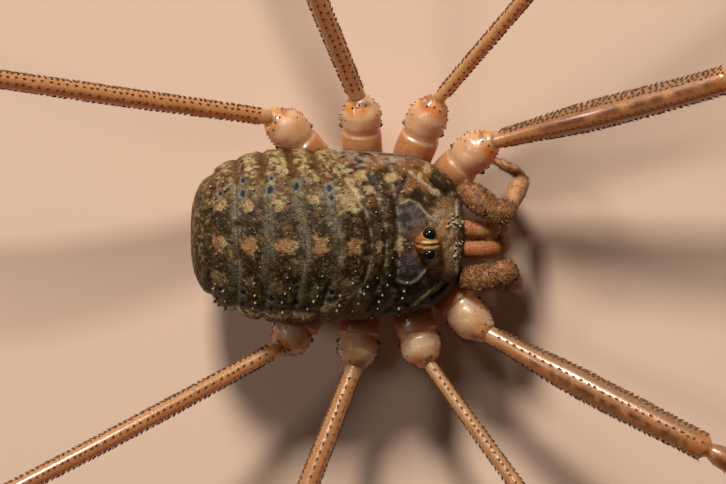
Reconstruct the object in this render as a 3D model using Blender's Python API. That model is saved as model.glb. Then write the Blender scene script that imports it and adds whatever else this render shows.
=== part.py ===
"""A harvestman at life size, standing as a still model.

The head points along +X, the animal's left side is +Y and the floor is z = 0.
Every shape is worked out from the named sizes below, in millimetres and in the animal's own
frame, whose x = 0 is the middle of the body. Each finished piece is then brought to metres,
and the last step moves the whole model so that its origin is under the middle of its outline.
"""

import math
import random

import bmesh
import bpy
from mathutils import Matrix, Vector

MM = 0.001  # metres in a millimetre

# Joints: neighbouring pieces stop this far from each other. The animal's joints are only about
# half a millimetre thick, so a wider gap would show as a break in the limb.
JOINT_GAP = 0.10
EYE_GAP = 0.06

# Body: half sizes of the rounded outline, and the level of its widest line.
HALF_LENGTH = 3.75
HALF_WIDTH = 2.40
WIDEST_LEVEL = 2.55
BACK_RISE = 2.05
BELLY_DROP = 1.65
HEAD_TAPER_START = 0.5
HEAD_TAPER = 0.10
OUTLINE_POWER = 3.0
BACK_POWER = 2.2
BELLY_POWER = 2.6
SECTION_POWER = 0.9
BODY_SIDES = 28

# Furrows between the plates of the back, from the rear to the head.
FURROWS = [-3.2, -2.44, -1.54, -0.57, 0.35, 1.19, 1.6, 1.95]
FURROW_DEPTH = 0.09
FURROW_REACH = 0.09
SHOULDER = 0.13
WAIST = 1.19
WAIST_BOW = 0.19
WAIST_REACH_BACK = 2.2
WAIST_REACH_FRONT = 0.9

# The slit that parts the abdomen from the head shield.
SLIT_BOW = 0.12
SLIT_SLANT = 0.40
SLIT_LEVEL = 4.3

# Eye tubercle and eyes.
TUBERCLE_PLACE = Vector((2.73, 0.0, 3.78))
TUBERCLE_HALF_SIZE = Vector((0.38, 0.33, 0.54))
EYE_PLACE = Vector((2.79, 0.270, 4.10))
EYE_RADIUS = 0.18

# Legs: each pair's segment lengths, and its thickest radius.
LEG_LENGTHS = {
    1: {"femur": 6.9, "patella": 1.9, "tibia": 6.0, "metatarsus": 6.6, "tarsus": 9.5},
    2: {"femur": 12.0, "patella": 2.2, "tibia": 10.5, "metatarsus": 11.0, "tarsus": 18.0},
    3: {"femur": 7.0, "patella": 1.8, "tibia": 5.8, "metatarsus": 8.0, "tarsus": 10.5},
    4: {"femur": 10.0, "patella": 2.0, "tibia": 8.2, "metatarsus": 11.5, "tarsus": 14.0},
}
FEMUR_RADIUS = {1: 0.40, 2: 0.25, 3: 0.28, 4: 0.26}
FEMUR_NECK = 0.62
FEMUR_THICKEST = 0.42
LEAST_RADIUS = 0.25
CLAW_RADIUS = 0.08
TROCHANTER_RADIUS = 0.55
TROCHANTER_INWARD = 0.42
TROCHANTER_MOUTH = 0.12
COXA_RADIUS = 0.53
THIGH_ARCH = 0.03

# Legs in the photo's pose: where each trochanter is, how far it reaches beyond that place, and
# the compass angle of each stretch in degrees from the head's direction towards the left side.
LEGS = {
    "leg1_left": dict(pair=1, hip=(4.00, 2.23, 2.2), reach=0.82, femur=17.5, tibia=27, tarsus=35),
    "leg2_left": dict(pair=2, hip=(2.70, 3.12, 2.2), reach=0.80, femur=52, tibia=59, tarsus=68),
    "leg3_left": dict(pair=3, hip=(0.92, 3.27, 2.2), reach=0.62, femur=111, tibia=119, tarsus=128),
    "leg4_left": dict(pair=4, hip=(-1.05, 2.87, 2.2), reach=0.76, femur=169, tibia=160, tarsus=153),
    "leg1_right": dict(pair=1, hip=(3.90, -2.33, 2.2), reach=0.80, femur=-25.5, tibia=-38, tarsus=-45),
    "leg2_right": dict(pair=2, hip=(2.60, -3.22, 2.2), reach=0.52, femur=-52.3, tibia=-61, tarsus=-71),
    "leg3_right": dict(pair=3, hip=(0.82, -3.30, 2.2), reach=0.52, femur=-112.3, tibia=-120, tarsus=-128),
    "leg4_right": dict(pair=4, hip=(-1.05, -2.90, 2.2), reach=0.52, femur=-154.5, tibia=-147, tarsus=-141),
}
COXA_ROOT = {1: (2.55, 0.70, 1.45), 2: (1.85, 0.75, 1.38), 3: (1.0, 0.75, 1.36), 4: (0.5, 0.75, 1.42)}
KNEE_HEIGHT = {1: 4.5, 2: 6.2, 3: 4.4, 4: 5.4}
SHANK_HEIGHT = {1: 2.9, 2: 4.0, 3: 2.9, 4: 3.6}
KNEE_DIP = 0.12
ANKLE_HEIGHT = 0.42
SOLE_SHARE = 0.6
TARSUS_TURN = 16
TARSUS_SHARES = (0.06, 0.14, 0.30, 0.50, 0.72, 0.93, 1.0)
TARSUS_LANDING = 0.14
TARSUS_TAPER_START = 0.72

# Palps and jaws: the points that their centre lines pass through, and the radius at each.
PALPS = {
    "left": {
        "femur": [((3.60, 1.32, 2.45), 0.26), ((3.96, 1.14, 2.66), 0.34), ((4.30, 0.90, 2.80), 0.34),
                  ((4.56, 0.76, 2.84), 0.30)],
        "patella": [((4.56, 0.76, 2.84), 0.30), ((4.80, 0.71, 2.86), 0.34), ((5.00, 0.80, 2.66), 0.27)],
        "tibia": [((5.00, 0.80, 2.66), 0.25), ((5.14, 1.05, 2.30), 0.28), ((5.32, 1.34, 1.86), 0.26),
                  ((5.36, 1.48, 1.64), 0.19)],
        "tarsus": [((5.36, 1.48, 1.64), 0.15), ((5.14, 1.62, 1.40), 0.15), ((4.84, 1.76, 1.22), 0.14),
                   ((4.56, 1.87, 1.10), 0.08)],
        "knob": (4.76, 0.56, 2.86),
    },
    "right": {
        "femur": [((3.60, -1.20, 2.40), 0.26), ((4.02, -1.18, 2.62), 0.33), ((4.36, -1.13, 2.78), 0.34),
                  ((4.62, -1.05, 2.84), 0.29)],
        "patella": [((4.62, -1.05, 2.84), 0.29), ((4.86, -0.99, 2.82), 0.33), ((5.04, -1.08, 2.58), 0.26)],
        "tibia": [((5.04, -1.08, 2.58), 0.25), ((5.12, -1.34, 2.22), 0.28), ((5.08, -1.52, 1.80), 0.25),
                  ((5.00, -1.58, 1.58), 0.19)],
        "tarsus": [((5.00, -1.58, 1.58), 0.15), ((4.90, -1.62, 1.30), 0.15), ((4.74, -1.62, 1.02), 0.14),
                   ((4.56, -1.58, 0.76), 0.08)],
        "knob": (4.93, -0.86, 2.80),
    },
}
KNOB_RADIUS = 0.22
JAW_MIDDLE = -0.12
JAW_OFFSET = 0.28
JAW_BASE = [
    ((3.40, 0.0, 2.30), 0.22), ((3.95, 0.0, 2.46), 0.25), ((4.36, 0.0, 2.44), 0.26), ((4.58, 0.0, 2.30), 0.22)
]
JAW_HAND = [
    ((4.60, 0.0, 2.14), 0.20), ((4.76, 0.0, 1.84), 0.25), ((4.72, 0.0, 1.46), 0.24), ((4.60, 0.0, 1.18), 0.17)
]
JAW_FINGERS = [
    [((4.66, 0.0, 1.34), 0.10), ((4.70, 0.0, 1.00), 0.09), ((4.58, 0.0, 0.76), 0.05)],
    [((4.56, 0.0, 1.34), 0.10), ((4.44, 0.0, 1.02), 0.09), ((4.44, 0.0, 0.78), 0.05)],
]

# Spines, coarser and fewer than the real ones: rows of leaning denticles along each femur, three
# on each trochanter, and blunt tubercles across the plates of the back and on its front edge.
FEMUR_ROWS = (25, 155, 205, 335)
FEMUR_SPACING = 0.80
FEMUR_SPINE = 0.12
FEMUR_LEAN = 35
FEMUR_SPINE_BASE = 0.065
TROCHANTER_SPINE = 0.11
TROCHANTER_SPINE_BASE = 0.07
PLATE_ROWS = (-2.80, -1.92, -0.98, -0.03, 0.86)
PLATE_ANGLES = (42, 56, 69, 111, 124, 138)
PLATE_SPINE = 0.07
PLATE_SPINE_BASE = 0.08
FRONT_SPOTS = ((3.36, 60), (3.42, 76), (3.44, 104), (3.36, 120), (1.78, 50), (1.78, 130))
DRAW = random.Random(8)

# Colours of the plain solids.
COLOURS = {
    "back": (0.10, 0.075, 0.035),
    "limb": (0.42, 0.22, 0.10),
    "joint": (0.62, 0.40, 0.25),
    "palp": (0.33, 0.18, 0.08),
    "eye": (0.004, 0.004, 0.004),
}


def clear_scene():
    """Empties the file that the script is run in."""
    for old in list(bpy.data.objects):
        bpy.data.objects.remove(old)


def material(name):
    """The plain finish of one kind of surface."""
    found = bpy.data.materials.get(name)
    if found:
        return found
    made = bpy.data.materials.new(name)
    made.use_nodes = True
    shader = made.node_tree.nodes["Principled BSDF"]
    shader.inputs["Base Color"].default_value = (*COLOURS[name], 1)
    shader.inputs["Roughness"].default_value = 0.08 if name == "eye" else 0.5
    shader.inputs["Metallic"].default_value = 0.0
    return made


def collection(name, hidden=False):
    """A collection for the animal's pieces or, hidden, for cutters."""
    made = bpy.data.collections.new(name)
    bpy.context.scene.collection.children.link(made)
    made.hide_render = hidden
    return made


def object_from(name, mesh, home):
    """A new object that shows the mesh."""
    made = bpy.data.objects.new(name, mesh)
    home.objects.link(made)
    if home is CUTTERS:
        made.hide_render = True
        made.display_type = "WIRE"
    return made


def finished(obj, name, finish):
    """Brings a piece to metres and moves it among the animal's parts, with its name and finish."""
    obj.data.transform(Matrix.Scale(MM, 4))
    for home in list(obj.users_collection):
        home.objects.unlink(obj)
    PARTS.objects.link(obj)
    obj.hide_render = False
    obj.display_type = "TEXTURED"
    obj.name = name
    obj.data.materials.clear()
    obj.data.materials.append(material(finish))
    obj.data.shade_smooth()
    obj.data.set_sharp_from_angle(angle=math.radians(40))
    return obj


def signed_power(value, power):
    """The value raised to the power, with its sign kept."""
    return math.copysign(abs(value) ** power, value)


def evenly(start, end, count):
    """That many values from start to end, ends included."""
    return [start + (end - start) * i / (count - 1) for i in range(count)]


def rounded(station, power):
    """How far a rounded outline has opened at a station along the body, from 0 to 1."""
    share = min(1.0, abs(station / HALF_LENGTH))
    return (1 - share**power) ** (1 / power)


def waist_bow(station):
    """How strongly the furrows bow round the waist, fading away to both sides of it."""
    reach = WAIST_REACH_FRONT if station > WAIST else WAIST_REACH_BACK
    return WAIST_BOW * math.exp(-(((station - WAIST) / reach) ** 2))


def plate_relief(station):
    """The depth below the plates' crest: nothing on a plate, and most in a furrow."""
    nearest = min(abs(station - furrow) for furrow in FURROWS)
    return -FURROW_DEPTH * math.exp(-((nearest / FURROW_REACH) ** 2))


def body_point(station, angle, grow=0.0):
    """A point of the skin: the angle goes round the section from the left side over the back.

    The section is a soft oval as wide as the outline, higher over the back than under the
    belly, and grow moves it outwards for a cutter that keeps a joint's gap.
    """
    side, up = math.cos(angle), math.sin(angle)
    half_width = HALF_WIDTH * rounded(station, OUTLINE_POWER) + grow
    taper = 1 - HEAD_TAPER * max(0.0, station - HEAD_TAPER_START)
    if up >= 0:
        height = BACK_RISE * rounded(station, BACK_POWER) * taper
    else:
        height = BELLY_DROP * rounded(station, BELLY_POWER)
    relief = plate_relief(station) * max(0.0, up) ** 0.5
    y = (half_width + relief) * signed_power(side, SECTION_POWER)
    z = WIDEST_LEVEL + (height + grow + relief) * signed_power(up, SECTION_POWER)
    stretch = 1 + grow / HALF_LENGTH
    x = station * stretch - waist_bow(station) * min(abs(y), HALF_WIDTH) ** 2
    return Vector((x, y, z))


def body_stations():
    """Stations of the rings: the furrows, both shoulders of every plate, and the rounded ends."""
    rear = [-HALF_LENGTH * math.cos(a) for a in evenly(0.0, math.radians(29), 4)][1:]
    front = [HALF_LENGTH * math.cos(a) for a in evenly(math.radians(53), 0.0, 7)][:-1]
    stations = [s for s in rear if s < FURROWS[0] - SHOULDER]
    for low, high in zip(FURROWS, FURROWS[1:]):
        shoulder = min(SHOULDER, (high - low) / 3)
        stations += [low, low + shoulder]
        if high - low > 4 * SHOULDER:
            stations.append((low + high) / 2)
        stations.append(high - shoulder)
    return stations + [FURROWS[-1], FURROWS[-1] + SHOULDER] + front


def body_mesh(grow=0.0):
    """The whole body: a ball whose rings are moved to the body's own sections."""
    stations = [-HALF_LENGTH] + body_stations() + [HALF_LENGTH]
    ball = bmesh.new()
    bmesh.ops.create_uvsphere(ball, u_segments=BODY_SIDES, v_segments=len(stations) - 1, radius=1)
    for vertex in ball.verts:
        ring = round(math.acos(max(-1, min(1, -vertex.co.z))) / math.pi * (len(stations) - 1))
        angle = math.atan2(vertex.co.y, vertex.co.x)
        vertex.co = body_point(stations[ring], angle, grow)
    mesh = bpy.data.meshes.new("body")
    ball.to_mesh(mesh)
    ball.free()
    return mesh


def slit_region(front):
    """A block that holds the slit and everything before it, or the slit and everything behind it.

    Its curved wall bows back to both sides and slants back under the belly.
    """
    edge = WAIST + (-JOINT_GAP / 2 if front else JOINT_GAP / 2)
    far = 6 if front else -6
    sides = evenly(-4, 4, 17)
    wall = [(edge - SLIT_BOW * y * y, y) for y in sides]
    outline = wall + [(far, 4), (far, -4)]
    block = bmesh.new()
    floor = [block.verts.new((x, y, 0)) for x, y in outline]
    face = block.faces.new(floor)
    lift = bmesh.ops.extrude_face_region(block, geom=[face])
    for item in lift["geom"]:
        if isinstance(item, bmesh.types.BMVert):
            item.co.z = 7
    for vertex in block.verts:
        vertex.co.x += SLIT_SLANT * (vertex.co.z - SLIT_LEVEL)
    bmesh.ops.recalc_face_normals(block, faces=block.faces)
    mesh = bpy.data.meshes.new("slit_region")
    block.to_mesh(mesh)
    block.free()
    return object_from("slit_region", mesh, CUTTERS)


def evaluated_mesh(obj):
    """A copy of the mesh that the viewport shows for the object."""
    graph = bpy.context.evaluated_depsgraph_get()
    return bpy.data.meshes.new_from_object(obj.evaluated_get(graph))


def boolean(obj, others, operation):
    """Cuts by the other closed meshes or joins them, applies it and removes them.

    The manifold solver keeps the small jaws closed, where the exact one left open edges.
    """
    tools = bpy.data.collections.new("tools")
    bpy.context.scene.collection.children.link(tools)
    for other in others:
        for home in list(other.users_collection):
            home.objects.unlink(other)
        tools.objects.link(other)
    modifier = obj.modifiers.new("shape", "BOOLEAN")
    modifier.operation = operation
    modifier.operand_type = "COLLECTION"
    modifier.collection = tools
    modifier.solver = "MANIFOLD"
    mesh = evaluated_mesh(obj)
    obj.modifiers.clear()
    obj.data = mesh
    for other in others:
        bpy.data.objects.remove(other)
    bpy.data.collections.remove(tools)
    return largest_shell(obj)


def largest_shell(obj):
    """Keeps the largest closed surface of the mesh, so a scrap of a cut is dropped."""
    shape = bmesh.new()
    shape.from_mesh(obj.data)
    left = set(shape.verts)
    shells = []
    while left:
        shell = set()
        edge = [left.pop()]
        while edge:
            vertex = edge.pop()
            shell.add(vertex)
            linked = {e.other_vert(vertex) for e in vertex.link_edges} & left
            left -= linked
            edge.extend(linked)
        shells.append(shell)
    for shell in sorted(shells, key=len)[:-1]:
        bmesh.ops.delete(shape, geom=list(shell), context="VERTS")
    shape.to_mesh(obj.data)
    shape.free()
    return obj


def smooth_path(points, steps):
    """A curve through all the points: each stretch is a cubic that leaves along its neighbours' line.

    It gives steps points for each stretch, and the last one.
    """
    path = []
    for i in range(len(points) - 1):
        a, b = points[i], points[i + 1]
        before = points[i - 1] if i else a - (b - a)
        after = points[i + 2] if i + 2 < len(points) else b + (b - a)
        reach = (b - a).length
        leave = (b - before).normalized() * reach
        arrive = (after - a).normalized() * reach
        for k in range(steps):
            t = k / steps
            path.append(
                a * (2 * t**3 - 3 * t**2 + 1)
                + leave * (t**3 - 2 * t**2 + t)
                + b * (3 * t**2 - 2 * t**3)
                + arrive * (t**3 - t**2)
            )
    return path + [points[-1]]


def shortened(points, start, end):
    """The same line with a little taken off its two ends."""
    points = list(points)
    points[0] = points[0] + (points[1] - points[0]).normalized() * start
    points[-1] = points[-1] + (points[-2] - points[-1]).normalized() * end
    return points


def tube(name, points, radii, sides=8):
    """A closed tube along the points, with its own radius at each: a bevelled curve made a mesh."""
    line = bpy.data.curves.new(name, "CURVE")
    line.dimensions = "3D"
    line.twist_mode = "Z_UP"
    line.bevel_depth = 1
    line.bevel_resolution = sides // 2 - 2
    line.use_fill_caps = True
    spline = line.splines.new("POLY")
    spline.points.add(len(points) - 1)
    for point, place, radius in zip(spline.points, points, radii):
        point.co = (*place, 1)
        point.radius = radius
    curve = object_from(name, line, CUTTERS)
    mesh = evaluated_mesh(curve)
    bpy.data.objects.remove(curve)
    shape = bmesh.new()
    shape.from_mesh(mesh)
    bmesh.ops.remove_doubles(shape, verts=shape.verts, dist=0.0001)
    bmesh.ops.recalc_face_normals(shape, faces=shape.faces)
    shape.to_mesh(mesh)
    shape.free()
    return object_from(name, mesh, CUTTERS)


def ellipsoid(name, place, half_size, sides=16, rings=10):
    """A ball stretched to the half sizes, at its place."""
    ball = bmesh.new()
    bmesh.ops.create_uvsphere(ball, u_segments=sides, v_segments=rings, radius=1)
    stretched = Matrix.Translation(place) @ Matrix.Diagonal((*half_size, 1))
    bmesh.ops.transform(ball, matrix=stretched, verts=ball.verts)
    mesh = bpy.data.meshes.new(name)
    ball.to_mesh(mesh)
    ball.free()
    return object_from(name, mesh, CUTTERS)


def add_spine(shape, place, direction, height, base):
    """Adds one pointed spine with a square foot, sunk as deep below its place as the foot is wide."""
    aim = direction.normalized()
    middle = place + aim * (height - base) / 2
    turned = Matrix.Translation(middle) @ aim.to_track_quat("Z", "Y").to_matrix().to_4x4()
    bmesh.ops.create_cone(
        shape, cap_ends=True, segments=4, radius1=base, radius2=0, depth=height + base, matrix=turned
    )


def spines_object(shape):
    """The spines gathered in a shape, as one object that the next union takes up."""
    bmesh.ops.remove_doubles(shape, verts=shape.verts, dist=0.0001)
    bmesh.ops.recalc_face_normals(shape, faces=shape.faces)
    mesh = bpy.data.meshes.new("spines")
    shape.to_mesh(mesh)
    shape.free()
    return object_from("spines", mesh, CUTTERS)


def femur_spines(line, radii):
    """Rows of leaning spines along a femur, each row starting half a space after the last one."""
    shape = bmesh.new()
    steps = [(b - a).length for a, b in zip(line, line[1:])]
    for row, degrees in enumerate(FEMUR_ROWS):
        travelled = FEMUR_SPACING * (0.6 + 0.5 * (row % 2))
        while travelled < sum(steps) - FEMUR_SPACING / 2:
            index, left = 0, travelled
            while left > steps[index]:
                left -= steps[index]
                index += 1
            along = (line[index + 1] - line[index]).normalized()
            share = left / steps[index]
            radius = radii[index] + (radii[index + 1] - radii[index]) * share
            side = along.cross(Vector((0, 0, 1))).normalized()
            angle = math.radians(degrees)
            out = side * math.cos(angle) + side.cross(along) * math.sin(angle)
            lean = out * math.cos(math.radians(FEMUR_LEAN)) + along * math.sin(math.radians(FEMUR_LEAN))
            foot = line[index] + along * left + out * radius * 0.9
            add_spine(shape, foot, lean, FEMUR_SPINE * DRAW.uniform(0.85, 1.2), FEMUR_SPINE_BASE)
            travelled += FEMUR_SPACING * DRAW.uniform(0.92, 1.08)
    return spines_object(shape)


def trochanter_spines(at):
    """A spine at both corners of the trochanter's rear rim, and one over its outer end."""
    shape = bmesh.new()
    along = (at["hip"] - at["entry"]).normalized()
    side = along.cross(Vector((0, 0, 1))).normalized()
    for sign in (1, -1):
        foot = at["entry"] + along * 0.20 + side * sign * TROCHANTER_RADIUS * 0.84
        add_spine(shape, foot, side * sign + along * 0.3, TROCHANTER_SPINE, TROCHANTER_SPINE_BASE)
    over = Vector((0, 0, 1))
    foot = at["hip"] + (at["outlet"] - at["hip"]) * 0.5 + over * TROCHANTER_RADIUS * 0.86
    add_spine(shape, foot, over + along * 0.6, TROCHANTER_SPINE, TROCHANTER_SPINE_BASE)
    return spines_object(shape)


def back_spines(spots):
    """Blunt tubercles at the given stations and angles of the back."""
    shape = bmesh.new()
    for station, degrees in spots:
        angle = math.radians(degrees)
        foot = body_point(station, angle)
        ahead = body_point(station + 0.05, angle) - body_point(station - 0.05, angle)
        across = body_point(station, angle + 0.05) - body_point(station, angle - 0.05)
        height = PLATE_SPINE * DRAW.uniform(0.85, 1.2)
        add_spine(shape, foot, ahead.cross(across), height, PLATE_SPINE_BASE)
    return spines_object(shape)


def heading(degrees, run, rise):
    """A step that goes run along the compass angle and rise up."""
    angle = math.radians(degrees)
    return Vector((run * math.cos(angle), run * math.sin(angle), rise))


def level_run(length, rise):
    """How far a straight stretch of that length goes over the floor while it rises."""
    return math.sqrt(length * length - rise * rise)


def leg_joints(leg):
    """Places of the joints of one leg, in mm: coxa root, trochanter ends, knee, tibia, ankle, tip."""
    pair = leg["pair"]
    lengths = LEG_LENGTHS[pair]
    hip = Vector(leg["hip"])
    side = math.copysign(1, hip.y)
    root = Vector((COXA_ROOT[pair][0], side * COXA_ROOT[pair][1], COXA_ROOT[pair][2]))
    inward = (root - hip).normalized()
    entry = hip + inward * TROCHANTER_INWARD
    rise = KNEE_HEIGHT[pair] - hip.z
    thigh = heading(leg["femur"], level_run(lengths["femur"], rise), rise)
    outlet = hip + (thigh.normalized() - inward).normalized() * leg["reach"]
    knee = outlet + thigh
    knee.z = KNEE_HEIGHT[pair]
    bend = (leg["femur"] + leg["tibia"]) / 2
    below_knee = knee + heading(bend, lengths["patella"], -KNEE_DIP)
    drop = SHANK_HEIGHT[pair] - below_knee.z
    shank = below_knee + heading(leg["tibia"], level_run(lengths["tibia"], drop), drop)
    fall = ANKLE_HEIGHT - shank.z
    lower = (leg["tibia"] + leg["tarsus"]) / 2
    ankle = shank + heading(lower, level_run(lengths["metatarsus"], fall), fall)
    return {"root": root, "entry": entry, "hip": hip, "outlet": outlet, "knee": knee,
            "below_knee": below_knee, "shank": shank, "ankle": ankle}


def tarsus_line(leg, ankle):
    """Points and radii of the tarsus: it comes down to the floor, then lies on it in a slow bend."""
    length = LEG_LENGTHS[leg["pair"]]["tarsus"]
    turn = math.copysign(TARSUS_TURN, leg["tarsus"])
    points = [ankle]
    radii = [LEAST_RADIUS]
    before = 0.0
    for share in TARSUS_SHARES:
        angle = leg["tarsus"] + turn * share
        slim = max(0.0, share - TARSUS_TAPER_START) / (1 - TARSUS_TAPER_START)
        radius = LEAST_RADIUS + (CLAW_RADIUS - LEAST_RADIUS) * slim
        place = points[-1] + heading(angle, length * (share - before), 0)
        sole = SOLE_SHARE * radius
        place.z = sole + (ANKLE_HEIGHT - sole) * max(0.0, 1 - share / TARSUS_LANDING)
        points.append(place)
        radii.append(radius)
        before = share
    return points, radii


def femur_radii(pair, count):
    """Radii along a femur: a narrow neck that swells to the thickest part before the middle."""
    thickest = FEMUR_RADIUS[pair]
    radii = []
    for share in evenly(0, 1, count):
        swell = min(1.0, share / FEMUR_THICKEST)
        swell = swell * (2 - swell)
        slim = 1 - 0.08 * max(0.0, share - FEMUR_THICKEST) / (1 - FEMUR_THICKEST)
        radii.append(max(LEAST_RADIUS, thickest * (FEMUR_NECK + (1 - FEMUR_NECK) * swell) * slim))
    return radii


def leg_pieces(name, leg):
    """The five nodes of one leg beyond its coxa, cut from one centre line."""
    pair = leg["pair"]
    at = leg_joints(leg)
    gap = JOINT_GAP / 2

    start = (at["knee"] - at["outlet"]).normalized()
    waist = smooth_path([at["entry"], at["hip"], at["outlet"] - start * TROCHANTER_MOUTH], 2) + [at["outlet"]]
    radii = [TROCHANTER_RADIUS * share for share in (0.76, 1.0, 1.02, 0.98, 0.80, 0.50)]
    trochanter = tube(name, shortened(waist, gap, gap), radii, 10)
    boolean(trochanter, [trochanter_spines(at)], "UNION")
    finished(trochanter, name + "_trochanter", "joint")

    arch = Vector((0, 0, THIGH_ARCH * LEG_LENGTHS[pair]["femur"]))
    middle = (at["outlet"] + at["knee"]) / 2 + arch
    thigh = smooth_path([at["outlet"], middle, at["knee"]], 5)
    radii = femur_radii(pair, len(thigh))
    femur = tube(name, shortened(thigh, gap, gap), radii, 8)
    boolean(femur, [femur_spines(thigh, radii)], "UNION")
    finished(femur, name + "_femur", "limb")

    line = smooth_path([at["knee"], at["below_knee"], at["shank"]], 4)
    radii = [LEAST_RADIUS * s for s in (1.1, 1.3, 1.35, 1.25, 1.05, 1.1, 1.05, 1.0, 1.0)]
    tibia = tube(name, shortened(line, gap, gap), radii, 8)
    finished(tibia, name + "_tibia", "limb")

    line = smooth_path([at["shank"], (at["shank"] + at["ankle"]) / 2, at["ankle"]], 2)
    metatarsus = tube(name, shortened(line, gap, gap), [LEAST_RADIUS] * len(line), 8)
    finished(metatarsus, name + "_metatarsus", "limb")

    line, radii = tarsus_line(leg, at["ankle"])
    tarsus = tube(name, shortened(line, gap, 0), radii, 8)
    for vertex in tarsus.data.vertices:
        vertex.co.z = max(0.0, vertex.co.z)
    finished(tarsus, name + "_tarsus", "limb")


def coxa(leg, grow=0.0):
    """One coxa, from its root inside the body to the trochanter's face."""
    joints = leg_joints(leg)
    root = joints["root"]
    end = joints["entry"]
    line = [root + (end - root) * share for share in evenly(0, 1, 5)]
    radii = [COXA_RADIUS * s + grow for s in (0.7, 0.95, 1.06, 1.04, 0.84)]
    return tube("coxa", shortened(line, 0, JOINT_GAP / 2 - grow), radii, 10)


def body_pieces():
    """The abdomen and the head shield with the coxae, parted by the slit."""
    rear = object_from("abdomen", body_mesh(), CUTTERS)
    boolean(rear, [slit_region(front=True)], "DIFFERENCE")
    boolean(rear, [coxa(leg, JOINT_GAP) for leg in LEGS.values()], "DIFFERENCE")
    spots = [(row, degrees) for row in PLATE_ROWS for degrees in PLATE_ANGLES]
    boolean(rear, [back_spines(spots)], "UNION")
    finished(rear, "abdomen", "back")
    front = object_from("head_shield", body_mesh(), CUTTERS)
    boolean(front, [slit_region(front=False)], "DIFFERENCE")
    boolean(front, [coxa(leg) for leg in LEGS.values()], "UNION")
    boolean(front, [back_spines(FRONT_SPOTS)], "UNION")
    finished(front, "head_shield", "back")


def eye_pieces():
    """The tubercle on the head shield, and an eye on each of its sides."""
    tubercle = ellipsoid("tubercle", TUBERCLE_PLACE, TUBERCLE_HALF_SIZE)
    boolean(tubercle, [object_from("skin", body_mesh(JOINT_GAP), CUTTERS)], "DIFFERENCE")
    finished(tubercle, "eye_tubercle", "palp")
    for side, name in ((1, "eye_left"), (-1, "eye_right")):
        place = Vector((EYE_PLACE.x, side * EYE_PLACE.y, EYE_PLACE.z))
        eye = ellipsoid(name, place, Vector((EYE_RADIUS,) * 3), 12, 8)
        grown = TUBERCLE_HALF_SIZE + Vector((EYE_GAP,) * 3)
        boolean(eye, [ellipsoid("seat", TUBERCLE_PLACE, grown)], "DIFFERENCE")
        finished(eye, name, "eye")


def limb_tube(name, stations, shift=0.0, steps=2, sides=8):
    """A tube through stations of place and radius, its ends cut back by half a joint's gap."""
    places = [Vector(place) + Vector((0, shift, 0)) for place, _ in stations]
    widths = [radius for _, radius in stations]
    line = shortened(smooth_path(places, steps), JOINT_GAP / 2, JOINT_GAP / 2)
    radii = []
    for a, b in zip(widths, widths[1:]):
        radii += [a + (b - a) * k / steps for k in range(steps)]
    return tube(name, line, radii + [widths[-1]], sides)


def trunk(grow):
    """The body and its coxae as cutters, grown by a gap, to fit the mouthparts against them."""
    return [object_from("skin", body_mesh(grow), CUTTERS)] + [coxa(leg, grow) for leg in LEGS.values()]


def mouth_pieces():
    """Jaws, each of a base and a hand with two fingers, and palps of four pieces."""
    for side, word in ((1, "left"), (-1, "right")):
        shift = JAW_MIDDLE + side * JAW_OFFSET
        base = limb_tube("base", JAW_BASE, shift)
        boolean(base, trunk(JOINT_GAP), "DIFFERENCE")
        finished(base, "chelicera_" + word + "_base", "palp")
        hand = limb_tube("hand", JAW_HAND, shift)
        boolean(hand, [limb_tube("finger", finger, shift, 2, 6) for finger in JAW_FINGERS], "UNION")
        finished(hand, "chelicera_" + word + "_hand", "palp")
        for segment in ("femur", "patella", "tibia", "tarsus"):
            piece = limb_tube(segment, PALPS[word][segment])
            if segment == "femur":
                boolean(piece, trunk(JOINT_GAP), "DIFFERENCE")
            if segment == "patella":
                knob = ellipsoid("knob", Vector(PALPS[word]["knob"]), Vector((KNOB_RADIUS,) * 3), 8, 6)
                boolean(piece, [knob], "UNION")
            finished(piece, "palp_" + word + "_" + segment, "palp")


def centre_on_origin():
    """Hangs every piece on one empty, moved so that the origin is under the middle of the outline."""
    stand = bpy.data.objects.new("harvestman_place", None)
    bpy.context.scene.collection.objects.link(stand)
    corners = []
    for piece in PARTS.objects:
        corners += [piece.matrix_world @ vertex.co for vertex in piece.data.vertices]
        piece.parent = stand
    middle = [(min(c[i] for c in corners) + max(c[i] for c in corners)) / 2 for i in range(2)]
    stand.location = (-middle[0], -middle[1], 0)


clear_scene()
PARTS = collection("harvestman")
CUTTERS = collection("cutters", hidden=True)
body_pieces()
eye_pieces()
mouth_pieces()
for leg_name, leg_pose in LEGS.items():
    leg_pieces(leg_name, leg_pose)
centre_on_origin()
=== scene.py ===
# %% [markdown]
# # A harvestman, dressed
#
# The solids give the animal's size and pose: a rounded body, an eye tubercle, short palps and
# eight very long legs. This lesson puts the real surface over them. Each piece is a surface
# worked out with numpy, in millimetres and in the animal's own frame: the head points along +X,
# its left side is +Y and the floor is z = 0.

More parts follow.
